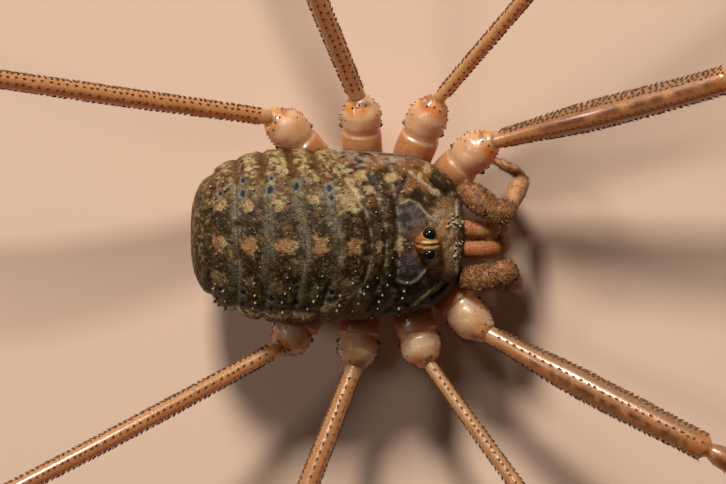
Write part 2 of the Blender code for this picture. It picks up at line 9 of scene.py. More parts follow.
import bpy
import numpy as np
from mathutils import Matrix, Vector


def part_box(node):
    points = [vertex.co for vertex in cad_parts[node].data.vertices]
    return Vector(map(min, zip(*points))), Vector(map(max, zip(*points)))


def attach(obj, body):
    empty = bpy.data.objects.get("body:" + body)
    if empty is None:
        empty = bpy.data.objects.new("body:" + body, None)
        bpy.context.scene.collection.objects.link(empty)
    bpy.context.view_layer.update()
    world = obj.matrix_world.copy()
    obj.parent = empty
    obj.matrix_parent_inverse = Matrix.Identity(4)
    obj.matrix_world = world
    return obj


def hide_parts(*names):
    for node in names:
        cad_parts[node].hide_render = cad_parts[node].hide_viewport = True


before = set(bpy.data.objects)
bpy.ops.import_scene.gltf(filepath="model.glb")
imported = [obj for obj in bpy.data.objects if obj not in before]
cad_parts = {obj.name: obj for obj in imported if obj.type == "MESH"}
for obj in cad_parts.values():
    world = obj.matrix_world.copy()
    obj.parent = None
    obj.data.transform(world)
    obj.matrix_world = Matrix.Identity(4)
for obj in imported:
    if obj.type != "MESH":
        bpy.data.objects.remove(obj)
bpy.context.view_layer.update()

# %% [markdown]
# The solids stand in metres with their origin under the middle of the outline, and the shapes
# below are easier to read in millimetres from the middle of the body. The frame tells how far
# the two differ: the rearmost point of the abdomen is half a body length behind that middle, and
# the eye tubercle stands on the midline.

# %% From millimetres on the animal to metres in the frame
MM = 0.001
HALF_LENGTH = 3.75
tubercle_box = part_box("eye_tubercle")
SHIFT = np.array([
    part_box("abdomen")[0].x / MM + HALF_LENGTH,
    (tubercle_box[0].y + tubercle_box[1].y) / 2 / MM,
    0.0,
])
print("the body's middle is at", SHIFT.round(3), "mm")

# %% [markdown]
# The photo looks down on the back, a little from the animal's left. The camera is a long way off
# compared with the animal, because a macro lens shows almost no perspective. Its lens follows
# from the width of floor that the picture takes in.

# %% Camera
FOCUS = np.array([0.975, 0.112, 4.4])
VIEW_WIDTH = 19.66
DISTANCE = 140.0
TILT = np.radians(9.15)


def place_camera():
    """Sets the camera DISTANCE from FOCUS, tilted from the vertical towards the animal's left."""
    data = bpy.data.cameras.new("macro_camera")
    data.sensor_width = 36.0
    data.lens = data.sensor_width * DISTANCE / VIEW_WIDTH
    data.clip_start = 0.001
    data.clip_end = 10.0
    camera = bpy.data.objects.new("macro_camera", data)
    bpy.context.scene.collection.objects.link(camera)
    camera.location = (FOCUS + SHIFT + DISTANCE * np.array([0, np.sin(TILT), np.cos(TILT)])) * MM
    camera.rotation_euler = (-TILT, 0, 0)
    bpy.context.scene.camera = camera


place_camera()
print("lens:", round(bpy.context.scene.camera.data.lens), "mm")

# %% [markdown]
# In the photo the light comes from the animal's left and rather high, so its right flank is in
# shadow. One soft lamp does that, a weak one from behind draws highlights along the legs, and a
# pale world fills in the rest. The floor is a plain, pale, warm sheet, which also throws warm
# light back up on the legs.

# %% Light and floor
KEY_COLOUR = (1.0, 0.94, 0.86)
WORLD_COLOUR = (1.0, 0.74, 0.58)
FLOOR_COLOUR = (0.74, 0.53, 0.40)


def lamp(name, place, size, power, colour=(1, 1, 1)):
    """A square lamp of that size, at a place in metres from the animal, turned towards it."""
    data = bpy.data.lights.new(name, "AREA")
    data.size = size
    data.energy = power
    data.color = colour
    data.use_shadow = True
    made = bpy.data.objects.new(name, data)
    bpy.context.scene.collection.objects.link(made)
    made.location = place
    made.rotation_mode = "QUATERNION"
    made.rotation_quaternion = (-made.location).to_track_quat("-Z", "Y")
    made.visible_camera = False
    return made


def plain_world(colour, strength):
    """An even light from all around."""
    world = bpy.data.worlds.new("studio")
    world.use_nodes = True
    world.node_tree.nodes["Background"].inputs["Color"].default_value = (*colour, 1)
    world.node_tree.nodes["Background"].inputs["Strength"].default_value = strength
    bpy.context.scene.world = world


def plain_floor(half_size):
    """A flat sheet under the animal."""
    material = bpy.data.materials.new("floor")
    material.use_nodes = True
    shader = material.node_tree.nodes["Principled BSDF"]
    shader.inputs["Base Color"].default_value = (*FLOOR_COLOUR, 1)
    shader.inputs["Roughness"].default_value = 0.75
    mesh = bpy.data.meshes.new("floor")
    signs = ((-1, -1), (1, -1), (1, 1), (-1, 1))
    mesh.from_pydata([(x * half_size, y * half_size, 0) for x, y in signs], [], [(0, 1, 2, 3)])
    mesh.materials.append(material)
    made = bpy.data.objects.new("floor", mesh)
    bpy.context.scene.collection.objects.link(made)


lamp("key", (-0.045, 0.257, 0.200), 0.06, 1.42, KEY_COLOUR)
lamp("kicker", (-0.230, 0.090, 0.215), 0.05, 0.19, (1.0, 0.97, 0.93))
plain_world(WORLD_COLOUR, 0.042)
plain_floor(4.0)
bpy.context.scene.view_settings.view_transform = "Standard"

# %% [markdown]
# Three small tools serve every piece. `ease` turns a value into a soft step. `noise` gives smooth
# random values, which make edges ragged and colours uneven. `unit` brings vectors to length one.

# %% Soft steps and smooth randomness
def unit(vectors):
    """Vectors divided by their own length."""
    return vectors / np.maximum(np.linalg.norm(vectors, axis=-1, keepdims=True), 1e-9)


def ease(value, low, high):
    """A soft step: 0 below low, 1 above high, and t * t * (3 - 2t) between them."""
    t = np.clip((value - low) / (high - low), 0, 1)
    return t * t * (3 - 2 * t)


def noise(points, size, seed=0):
    """Smooth random values from 0 to 1.

    Space is a lattice of cubes of that size. Each corner has a value, the fraction of a large
    sine of its place, and a point blends its cube's eight corners by soft steps.
    """
    scaled = np.asarray(points) / size
    cell = np.floor(scaled)
    step = ease(scaled - cell, 0, 1)
    total = np.zeros(scaled.shape[:-1])
    for corner in np.ndindex(2, 2, 2):
        wave = (cell + corner) @ np.array([127.1, 311.7, 74.7]) + seed * 19.19
        value = np.abs(np.sin(wave) * 43758.5453) % 1
        total += value * np.prod(np.where(np.array(corner) == 1, step, 1 - step), axis=-1)
    return total


rng = np.random.default_rng(12)
print("noise at three places:", noise(np.array([[0.1, 0, 0], [0.6, 0, 0], [1.1, 0, 0]]), 1).round(2))

# %% [markdown]
# A closed surface is a grid of rings with one point at each end. The rings are rows, and the last
# column joins the first. Two faces that share an edge in a grid run the same way round, so one
# test of the volume's sign tells whether all of them have to be turned to face outwards.

# %% From grids to objects
def shell(grid):
    """Points and quads of a closed surface from a grid of rings, with a pole at both ends.

    The poles are the means of the first and last ring.
    """
    rings, columns = grid.shape[:2]
    points = np.vstack([grid.reshape(-1, 3), grid[0].mean(0), grid[-1].mean(0)])
    index = np.arange(rings * columns).reshape(rings, columns)
    beside = np.roll(index, -1, axis=1)
    quads = np.stack([index[:-1], beside[:-1], beside[1:], index[1:]], axis=-1).reshape(-1, 4)
    a, b, c = (points[quads[:, k]] for k in range(3))
    caps = [np.stack([beside[0], index[0], np.full(columns, len(points) - 2)], axis=-1),
            np.stack([index[-1], beside[-1], np.full(columns, len(points) - 1)], axis=-1)]
    faces = quads.tolist() + np.vstack(caps).tolist()
    if np.einsum("ij,ij->i", a, np.cross(b, c)).sum() < 0:
        faces = [face[::-1] for face in faces]
    return points, faces


def with_poles(values):
    """Values on a grid, as a list that also has the two poles of its shell."""
    flat = values.reshape(-1, values.shape[-1])
    return np.vstack([flat, values[0].mean(0), values[-1].mean(0)])


def gather(parts):
    """Several (points, faces, tints) as one."""
    points, faces, tints = [], [], []
    start = 0
    for part_points, part_faces, part_tints in parts:
        points.append(part_points)
        tints.append(part_tints)
        faces += [[corner + start for corner in face] for face in part_faces]
        start += len(part_points)
    return np.vstack(points), faces, np.vstack(tints)


def piece(name, points, faces, tints, material, slot, nodes=(), patches=None):
    """An object from points in mm: scaled to metres, coloured, riding on the animal.

    The tints are one RGB colour for each point. The patches, for a coat of spines, are where each
    point lies on the map that the colours are baked on.
    """
    mesh = bpy.data.meshes.new(name)
    mesh.from_pydata(((points + SHIFT) * MM).tolist(), [], faces)
    tint = mesh.color_attributes.new("tint", "FLOAT_COLOR", "POINT")
    tint.data.foreach_set("color", np.column_stack([tints, np.ones(len(tints))]).ravel())
    if patches is not None:
        corners = np.empty(len(mesh.loops), np.int32)
        mesh.loops.foreach_get("vertex_index", corners)
        mesh.uv_layers.new(name="OFBake").data.foreach_set("uv", patches[corners].ravel())
    mesh.shade_smooth()
    mesh.materials.append(material)
    made = bpy.data.objects.new(name, mesh)
    bpy.context.scene.collection.objects.link(made)
    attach(made, "root")
    if nodes:
        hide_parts(*nodes)
    triangles = sum(len(face) - 2 for face in faces)
    print(f"{name}: {triangles} triangles")
    return made


# %% [markdown]
# Legs, palps and jaws are profiles carried along a line. `curve` makes the line from a few points,
# the same way as in the solids, and `sweep` puts a ring round each of its points.

# %% Lines and tubes
def curve(points, steps):
    """A smooth line through the points, with any number of coordinates each.

    Every stretch is a cubic. It leaves a point along the line between that point's neighbours.
    """
    points = np.asarray(points, float)
    start, end = points[:-1], points[1:]
    before = np.vstack([2 * points[0] - points[1], points[:-2]])
    after = np.vstack([points[2:], 2 * points[-1] - points[-2]])
    reach = np.linalg.norm((end - start)[:, :3], axis=1)[:, None]
    leave = (unit(end - before) * reach)[:, None]
    arrive = (unit(after - start) * reach)[:, None]
    t = (np.arange(steps) / steps)[None, :, None]
    line = start[:, None] * (2 * t**3 - 3 * t**2 + 1) + leave * (t**3 - 2 * t**2 + t)
    line = line + end[:, None] * (3 * t**2 - 2 * t**3) + arrive * (t**3 - t**2)
    return np.vstack([line.reshape(-1, points.shape[1]), points[-1:]])


def travelled(line):
    """How far each point of a line is from its start, along the line."""
    steps = np.linalg.norm(np.diff(line[:, :3], axis=0), axis=1)
    return np.concatenate([[0], np.cumsum(steps)])


def respaced(line, stations):
    """The line's points at the given distances from its start."""
    along = travelled(line)
    return np.column_stack([np.interp(stations, along, line[:, k]) for k in range(line.shape[1])])


def sweep(line, radii, columns, upright=(0, 0, 1)):
    """A grid of rings along a line: centre + radius * (cos a * side + sin a * over).

    Side is level and square to the line, and over is square to both, so an angle of 90 degrees is
    the top. Gives the grid and the directions out of it.
    """
    along = unit(np.gradient(line, axis=0))
    side = unit(np.cross(along, upright))[:, None]
    over = np.cross(side[:, 0], along)[:, None]
    angle = (np.arange(columns) * 2 * np.pi / columns)[None, :, None]
    out = np.cos(angle) * side + np.sin(angle) * over
    return line[:, None] + out * np.asarray(radii).reshape(len(line), -1, 1), out


def round_ends(distance, total, reach_start, reach_end):
    """A factor for radii that closes both ends of a tube like a ball: the root of 1 - (1 - d)^2."""
    start = 1 - np.clip(distance / reach_start, 0, 1)
    end = 1 - np.clip((total - distance) / reach_end, 0, 1)
    return np.sqrt(np.maximum(1 - start**2, 0.0004)) * np.sqrt(np.maximum(1 - end**2, 0.0004))


# %% [markdown]
# ## Finishes
#
# Each finish is one Principled shader. The markings, with some painted shade, a painted sheen and a
# painted highlight on the legs, are worked out with each surface and kept in its mesh as the
# attribute `tint`, because they follow the plates and the legs. The material adds what is finer
# than the mesh: the fine grain of the skin, and the small bumps that break up the gloss.

# %% Finishes for skin, joints, spines and eyes
def finish(name, rough, grain_size, grain_mix, bump_height, gloss=0.5, coat=0.0, coat_rough=0.12,
           scatter=0.0, reach=(0.3, 0.12, 0.06)):
    """A skin of tinted, grainy, slightly bumpy shell.

    The colour is the tint times a noise between 1 - grain_mix and 1 + grain_mix. The bump is a
    cell pattern of that grain size. Scatter lets light through, as far as reach for red, green
    and blue in mm.
    """
    material = bpy.data.materials.new(name)
    material.use_nodes = True
    nodes, links = material.node_tree.nodes, material.node_tree.links
    shader = nodes["Principled BSDF"]
    shader.inputs["Roughness"].default_value = rough
    shader.inputs["Specular IOR Level"].default_value = gloss
    shader.inputs["Coat Weight"].default_value = coat
    shader.inputs["Coat Roughness"].default_value = coat_rough
    shader.inputs["Subsurface Weight"].default_value = scatter
    shader.inputs["Subsurface Radius"].default_value = reach
    shader.inputs["Subsurface Scale"].default_value = MM
    place = nodes.new("ShaderNodeTexCoord")
    tint = nodes.new("ShaderNodeAttribute")
    tint.attribute_name = "tint"
    grain = nodes.new("ShaderNodeTexNoise")
    grain.inputs["Scale"].default_value = 1 / (grain_size * MM)
    grain.inputs["Detail"].default_value = 3.0
    links.new(place.outputs["Object"], grain.inputs["Vector"])
    span = nodes.new("ShaderNodeMapRange")
    span.inputs["From Min"].default_value = 0.3
    span.inputs["From Max"].default_value = 0.7
    span.inputs["To Min"].default_value = 1 - grain_mix
    span.inputs["To Max"].default_value = 1 + grain_mix
    links.new(grain.outputs["Fac"], span.inputs["Value"])
    coloured = nodes.new("ShaderNodeVectorMath")
    coloured.operation = "SCALE"
    links.new(tint.outputs["Color"], coloured.inputs[0])
    links.new(span.outputs["Result"], coloured.inputs["Scale"])
    links.new(coloured.outputs["Vector"], shader.inputs["Base Color"])
    if bump_height == 0:
        return material
    cells = nodes.new("ShaderNodeTexVoronoi")
    cells.inputs["Scale"].default_value = 1 / (grain_size * MM)
    links.new(place.outputs["Object"], cells.inputs["Vector"])
    bump = nodes.new("ShaderNodeBump")
    bump.inputs["Distance"].default_value = bump_height * MM
    bump.inputs["Strength"].default_value = 1.0
    bump.invert = True
    links.new(cells.outputs["Distance"], bump.inputs["Height"])
    links.new(bump.outputs["Normal"], shader.inputs["Normal"])
    return material


SKIN = finish("back_skin", 0.42, 0.045, 0.50, 0.014, gloss=0.15)
SHELL = finish("leg_shell", 0.34, 0.05, 0.20, 0.006, coat=1.0, coat_rough=0.18, scatter=0.9,
               reach=(1.3, 0.9, 0.5))
JOINT = finish("joint_shell", 0.40, 0.05, 0.08, 0.009, coat=0.6, coat_rough=0.20, scatter=1.0,
               reach=(1.5, 0.9, 0.5))
PALP = finish("palp_shell", 0.55, 0.05, 0.30, 0.012, gloss=0.30, coat=0.0, scatter=0.6)
SPINE = finish("spine_shell", 0.45, 0.05, 0.10, 0.0, gloss=0.25)
EYE = finish("eye_glass", 0.06, 0.20, 0.0, 0.0, gloss=0.35, coat=0.2, coat_rough=0.03)

# %% [markdown]
# ## Small spines
#
# Harvestmen are rough to the touch. Rows of brown denticles run along the thighs, white-tipped
# granules cross the back and short dark spinules cover the palps. They all are the same shape, a
# small leaning cone of a few sides, so one function makes thousands of them at once.

# %% Spines by the thousand
SPINE_SIDES = 5


def spines(roots, aims, lengths, widths, bend=None, levels=(-0.35, 0.15, 0.6, 1.0),
           girths=(1, 0.85, 0.45, 0.1)):
    """Points, faces, how far up each point is (0 root to 1 tip), and the number of each spine.

    A point is root + aim * level * length + ring * girth * width + bend * level^2 * length. The
    first level is negative, so that the root is sunk in the skin.
    """
    count, sides = len(roots), SPINE_SIDES
    levels, girths = np.array(levels), np.array(girths)
    helper = np.where(np.abs(aims[:, 2:3]) > 0.8, [[1.0, 0, 0]], [[0, 0, 1.0]])
    side = unit(np.cross(aims, helper))
    over = np.cross(side, aims)
    angle = np.arange(sides) * 2 * np.pi / sides
    ring = np.cos(angle)[None, :, None] * side[:, None] + np.sin(angle)[None, :, None] * over[:, None]
    lengths = np.broadcast_to(lengths, (count,))[:, None, None]
    widths = np.broadcast_to(widths, (count,))[:, None, None, None]
    core = roots[:, None] + aims[:, None] * levels[None, :, None] * lengths
    if bend is not None:
        core = core + bend[:, None] * (levels * np.abs(levels))[None, :, None] * lengths
    points = core[:, :, None] + ring[:, None] * girths[None, :, None, None] * widths
    one = np.arange(len(levels) * sides).reshape(len(levels), sides)
    beside = np.roll(one, -1, axis=1)
    band = np.stack([one[:-1], beside[:-1], beside[1:], one[1:]], axis=-1).reshape(-1, 4)
    starts = np.arange(count) * len(levels) * sides
    faces = (band[None] + starts[:, None, None]).reshape(-1, 4).tolist()
    faces += (one[0][::-1][None] + starts[:, None]).tolist()
    faces += (one[-1][None] + starts[:, None]).tolist()
    height = np.broadcast_to(np.clip(levels, 0, 1)[None, :, None], points.shape[:3]).ravel()
    number = np.repeat(np.arange(count), len(levels) * sides)
    return points.reshape(-1, 3), faces, height, number


def bake_patches(root_map, number, height):
    """Where each point of the spines lies on the baked map: a small star at its root's place."""
    turn = np.arange(len(number)) % SPINE_SIDES * 2 * np.pi / SPINE_SIDES
    star = np.column_stack([np.cos(turn), np.sin(turn)]) * (0.0015 * (1 - 0.8 * height))[:, None]
    return 0.01 + 0.98 * root_map[number] + star


def blend(first, second, share):
    """Colours between two colours, by a share for each point."""
    share = np.asarray(share)[..., None]
    return np.asarray(first) * (1 - share) + np.asarray(second) * share


DENTICLE_ROOT = (0.115, 0.040, 0.011)
DENTICLE_TIP = (0.25, 0.110, 0.040)

# %% [markdown]
# ## The body
#
# Abdomen and head shield are one rounded shell. Its sections are soft ovals, and its plates are
# parted by furrows that bow back to both sides. The skin repeats the solids' own formula, on a
# grid that is finer over the back than under the belly, because the photo looks at the back.

# %% The body's own shape
HALF_WIDTH = 2.40
WIDEST_LEVEL = 2.55
BACK_RISE = 2.05
BELLY_DROP = 1.65
HEAD_TAPER_START = 0.5
HEAD_TAPER = 0.10
OUTLINE_POWER = 3.0
BACK_POWER = 2.2
BELLY_POWER = 2.6
SECTION_POWER = 0.9
WAIST = 1.19
WAIST_BOW = 0.19
WAIST_REACH_BACK = 2.2
WAIST_REACH_FRONT = 0.9
FURROWS = (-3.2, -2.44, -1.54, -0.57, 0.35, 1.19, 1.6, 1.95)


def rounded(station, power):
    """How far a rounded outline has opened at a station, from 0 at the ends to 1 in the middle."""
    share = np.minimum(1, np.abs(station / HALF_LENGTH))
    return (1 - share**power) ** (1 / power)


def waist_bow(station):
    """How strongly the furrows bow, most at the waist and fading away to both sides of it."""
    reach = np.where(station > WAIST, WAIST_REACH_FRONT, WAIST_REACH_BACK)
    return WAIST_BOW * np.exp(-(((station - WAIST) / reach) ** 2))


def signed_power(value, power):
    """The value raised to the power, with its sign kept."""
    return np.sign(value) * np.abs(value) ** power


def body_surface(station, angle):
    """The plain skin: an oval section at each station, bowed back at the sides."""
    side, up = np.cos(angle), np.sin(angle)
    taper = 1 - HEAD_TAPER * np.maximum(0, station - HEAD_TAPER_START)
    rise = BACK_RISE * rounded(station, BACK_POWER) * taper
    drop = BELLY_DROP * rounded(station, BELLY_POWER)
    y = HALF_WIDTH * rounded(station, OUTLINE_POWER) * signed_power(side, SECTION_POWER)
    z = WIDEST_LEVEL + np.where(up >= 0, rise, drop) * signed_power(up, SECTION_POWER)
    x = station - waist_bow(station) * np.minimum(np.abs(y), HALF_WIDTH) ** 2
    return np.stack([x, y, z], axis=-1)


def normals(grid):
    """Outward directions of a closed grid: the cross product of its two directions."""
    along = np.gradient(grid, axis=0)
    wrapped = np.concatenate([grid[:, -1:], grid, grid[:, :1]], axis=1)
    around = np.gradient(wrapped, axis=1)[:, 1:-1]
    normal = unit(np.cross(around, along))
    return normal * np.sign((normal * (grid - grid.mean(axis=1, keepdims=True))).sum())


BODY_RINGS = 270
BACK_COLUMNS = 290
BELLY_COLUMNS = 74
turn = np.linspace(0.018, np.pi - 0.018, BODY_RINGS)
stations = -HALF_LENGTH * (0.8 * np.cos(turn) + 0.2 * (1 - 2 * turn / np.pi))
stations = np.clip(stations, -HALF_LENGTH + 0.002, HALF_LENGTH - 0.002)
back_angles = np.linspace(0, np.pi, BACK_COLUMNS, endpoint=False)
belly_angles = np.linspace(np.pi, 2 * np.pi, BELLY_COLUMNS, endpoint=False)
station_grid, angle_grid = np.meshgrid(stations, np.concatenate([back_angles, belly_angles]), indexing="ij")
plain_body = body_surface(station_grid, angle_grid)
print("body grid:", plain_body.shape[:2])

# %% [markdown]
# Markings and relief are both read from where a point lies on the back, so their places are given
# once. Across the abdomen everything follows the furrows, which bend back like shallow arrows:
# `band` is the place along the body measured along those arrows. On the head shield the marks are
# ovals and lines at measured places, the same on both sides.

# %% Marks as ovals and lines
X, Y, Z = (plain_body[..., k] for k in range(3))
OFF_MIDDLE = np.abs(Y)
UPPER = np.sin(angle_grid) > -0.15
BOW = waist_bow(X + 0.1 * OFF_MIDDLE**2)
ARROW = 2.3 * (np.sqrt(OFF_MIDDLE**2 + 0.09) - 0.3)
BAND = X + BOW * (ARROW + (OFF_MIDDLE**2 - ARROW) * ease(X, 0.3, 1.0))
RAGGED = noise(plain_body, 0.10, 1) + 0.6 * noise(plain_body, 0.05, 2) - 0.8
DRIFT_X = 0.20 * (noise(plain_body, 0.16, 61) - 0.5) + 0.10 * (noise(plain_body, 0.07, 62) - 0.5)
DRIFT_Y = 0.20 * (noise(plain_body, 0.16, 63) - 0.5) + 0.10 * (noise(plain_body, 0.07, 64) - 0.5)


def oval(centre, size, turned=0.0, ragged=0.35, soft=0.25, drift=1.0):
    """1 inside an oval on both sides of the midline, 0 outside, with a ragged edge.

    The distance is sqrt((u / a)^2 + (v / b)^2) in the oval's own directions, plus noise. The
    places drift a little with a coarser noise, so the two sides aren't the same.
    """
    du, dv = X + drift * DRIFT_X - centre[0], OFF_MIDDLE + drift * DRIFT_Y - centre[1]
    c, s = np.cos(np.radians(turned)), np.sin(np.radians(turned))
    distance = np.hypot((du * c + dv * s) / size[0], (dv * c - du * s) / size[1])
    return (1 - ease(distance + ragged * RAGGED, 1 - soft, 1 + soft)) * UPPER


def stroke(points, width):
    """1 on a line through the points on both sides of the midline, fading as a bell curve."""
    nearest = np.full(X.shape, 9.0)
    for (ax, ay), (bx, by) in zip(points, points[1:]):
        length = (bx - ax) ** 2 + (by - ay) ** 2
        t = np.clip(((X - ax) * (bx - ax) + (OFF_MIDDLE - ay) * (by - ay)) / length, 0, 1)
        nearest = np.minimum(nearest, np.hypot(X - ax - t * (bx - ax), OFF_MIDDLE - ay - t * (by - ay)))
    return np.exp(-((nearest / width) ** 2)) * UPPER


def near_furrow(width, furrows=FURROWS):
    """1 in the furrows, fading as a bell curve to both sides."""
    nearest = np.min([np.abs(BAND + 0.02 * RAGGED - furrow) for furrow in furrows], axis=0)
    return np.exp(-((nearest / width) ** 2))


# The marks of one side: (place along the body, place off the midline), (half sizes), turn.
MUSCLE_SPOTS = (((-2.92, 1.33), 0.75), ((-2.29, 1.71), 0.70), ((-2.29, 1.36), 0.95), ((-1.52, 1.80), 0.60),
                ((-1.54, 1.50), 1.10), ((-0.84, 1.62), 1.0), ((-0.60, 1.73), 0.5), ((0.08, 1.56), 0.95),
                ((0.12, 1.30), 0.9))
MIDDLE_SPOTS = ((-2.97, 0.20), (-2.09, 0.21), (-1.14, 0.23), (-0.20, 0.23), (0.75, 0.20), (1.40, 0.13))
SADDLE_PATCHES = (((-2.95, 1.02), (0.20, 0.22), 40), ((-2.15, 1.07), (0.15, 0.14), 0),
                  ((-1.34, 1.15), (0.18, 0.17), 0), ((-0.35, 1.25), (0.13, 0.16), 0),
                  ((0.55, 1.30), (0.24, 0.46), -28))
PALE_DOTS = (((-1.14, 1.95), 0.09), ((-0.30, 1.79), 0.10), ((0.93, 1.85), 0.15), ((1.12, 1.47), 0.12),
             ((1.73, 1.77), 0.14), ((2.71, 1.90), 0.11), ((2.50, 1.75), 0.08), ((2.98, 1.33), 0.10))
DARK_GROOVES = (((2.17, 1.80), (1.90, 1.20)), ((1.11, 1.90), (1.38, 1.50)), ((2.85, 1.62), (3.30, 1.25)),
                ((1.62, 2.05), (1.95, 1.60)))
WEDGE_EDGE = ((0.50, 1.78), (0.80, 1.44), (0.95, 1.02), (0.72, 0.94))
RIGHT_STREAKS = (((-0.10, 1.84), (0.40, 1.56), (0.88, 1.24)), ((-2.65, 1.94), (-1.60, 2.04), (-0.45, 2.04)))
PALE_RIDGES = (((2.00, 1.08), (2.22, 1.15), (2.46, 1.05), (2.73, 0.72), (2.98, 0.50)),
               ((2.28, 1.85), (2.69, 1.52), (3.06, 1.20)), ((3.54, 0.62), (3.54, 1.02)))

# %% [markdown]
# The relief is small, a tenth of a millimetre at most, but it carries the light: furrows between
# the plates, a scalloped flank, dents over the muscles, grooves and ridges on the head shield, and
# a soft swelling under the eyes. Below, shallow furrows part the belly's plates, and a long lid
# that covers the opening between the hips stands out a little.

# %% Relief of the back and belly
BELOW = ease(-np.sin(angle_grid), 0.05, 0.45)
BELLY_FURROWS = (-3.1, -2.6, -2.0, -1.3, -0.55, 0.2)
LID = np.hypot((X - 1.35) / 1.15, OFF_MIDDLE / (0.46 - 0.08 * (X - 1.35)))


def body_relief():
    """Height of every grid point over the plain skin, in mm."""
    up = np.clip(np.sin(angle_grid), 0, 1)
    flank = np.exp(-((np.sin(angle_grid) / 0.45) ** 2))
    height = -0.065 * near_furrow(0.09) * up**0.4
    height -= 0.080 * near_furrow(0.12, FURROWS[:6]) * flank
    height += 0.020 * (noise(plain_body, 0.16, 3) - 0.5) + 0.012 * (noise(plain_body, 0.07, 4) - 0.5)
    for centre, size in MUSCLE_SPOTS:
        height -= 0.030 * oval(centre, (0.10 * size, 0.10 * size), ragged=0, drift=0)
    for groove in DARK_GROOVES:
        height -= 0.060 * stroke(groove, 0.055)
    for ridge in PALE_RIDGES:
        height += 0.035 * stroke(ridge, 0.035)
    height += 0.05 * oval((2.75, 0.0), (0.55, 0.50), ragged=0, soft=0.6)
    height -= 0.035 * near_furrow(0.10, BELLY_FURROWS) * BELOW
    return height + 0.06 * (1 - ease(LID, 0.92, 1.06)) * BELOW


relief = body_relief()
body_grid = plain_body + normals(plain_body) * relief[..., None]
print("relief from", relief.min().round(3), "to", relief.max().round(3), "mm")

# %% [markdown]
# The colours run from almost black to cream. A dark saddle lies along the middle, crossed by
# grey, grainy furrows and marked by one pinkish spot on each plate. The flanks are olive and
# cream, with brown between the plates. The head shield is dark, with tan round the front, cream
# spots and blue-grey ridges. Across the right half all of it is then painted darker, as painted
# shade of the flank that faces away from the lamp, and the cream streaks there are laid on after it.

# %% Markings of the back
NEAR_BLACK = (0.024, 0.014, 0.006)
DARK_OLIVE = (0.104, 0.063, 0.022)
OLIVE = (0.155, 0.115, 0.042)
CREAM = (0.35, 0.255, 0.122)
PALE_CREAM = (0.44, 0.345, 0.200)
STREAK_CREAM = (0.74, 0.58, 0.34)
WARM_BROWN = (0.095, 0.034, 0.009)
PINK = (0.34, 0.170, 0.078)
RUST = (0.190, 0.070, 0.018)
SANDY_GREY = (0.205, 0.174, 0.112)
BLUE_GREY = (0.17, 0.17, 0.145)
TAN = (0.27, 0.135, 0.052)
BELLY = (0.33, 0.22, 0.12)
BELLY_BROWN = (0.150, 0.075, 0.030)


def laid(tint, colour, share):
    """A colour laid over the tints, by a share for each point."""
    return blend(tint, np.broadcast_to(colour, tint.shape), np.clip(share, 0, 1))


def abdomen_tints(fine, middling, broad):
    """The abdomen's ground: dark sandy saddle, mottled flanks, grey and brown furrows."""
    tint = blend(NEAR_BLACK, DARK_OLIVE, ease(0.5 * middling + 0.5 * fine, 0.44, 0.74))
    tint = laid(tint, RUST, 0.4 * ease(noise(plain_body, 0.11, 9), 0.62, 0.85))
    tint = laid(tint, (0.24, 0.180, 0.085), 0.6 * ease(noise(plain_body, 0.095, 10), 0.74, 0.88))
    tint = laid(tint, (0.20, 0.150, 0.070), 0.6 * ease(fine, 0.70, 0.82) * ease(broad, 0.2, 0.6))
    between = near_furrow(0.13, tuple(furrow + 0.32 for furrow in FURROWS[:5]))
    tint = laid(tint, NEAR_BLACK, 0.65 * between * ease(middling, 0.25, 0.5))
    flank = blend(WARM_BROWN, OLIVE, ease(0.6 * middling + 0.4 * fine, 0.34, 0.62))
    plate = 1 - near_furrow(0.24, FURROWS[:5])
    outer = ease(OFF_MIDDLE, 1.65, 2.05)
    cream = ease(0.55 * middling + 0.20 * fine + 0.34 * plate * outer, 0.46, 0.86)
    flank = laid(flank, CREAM, cream)
    flank = laid(flank, CREAM, 0.7 * ease(noise(plain_body, 0.13, 14), 0.72, 0.85))
    flank = laid(flank, NEAR_BLACK, 0.75 * ease(noise(plain_body, 0.085, 8) + 0.2 * broad, 0.72, 0.86))
    flank = laid(flank, WARM_BROWN, 0.9 * near_furrow(0.11, FURROWS[:5]) * outer)
    off_saddle = ease(OFF_MIDDLE + DRIFT_Y + 0.10 * RAGGED, 1.12, 1.40)
    tint = tint + (flank - tint) * off_saddle[..., None]
    sandy = ease(noise(plain_body, 0.035, 7), 0.35, 0.60)
    grey = near_furrow(0.14, FURROWS[1:5]) * (1 - ease(OFF_MIDDLE, 1.45, 1.75))
    tint = laid(tint, SANDY_GREY, 0.95 * grey * (0.35 + 0.65 * sandy) * ease(broad, 0.1, 0.5))
    rear = ease(-X + 0.15 * RAGGED, 3.20, 3.50)
    tint = laid(tint, NEAR_BLACK, 0.50 * rear)
    tint = laid(tint, (0.24, 0.170, 0.080), 0.75 * rear * ease(noise(plain_body, 0.10, 71), 0.56, 0.72))
    tint = laid(tint, RUST, 0.7 * rear * ease(noise(plain_body, 0.13, 72), 0.58, 0.74))
    crease = near_furrow(0.022, FURROWS[:5]) * (1 - 0.6 * outer)
    return laid(tint, NEAR_BLACK, 0.75 * crease)


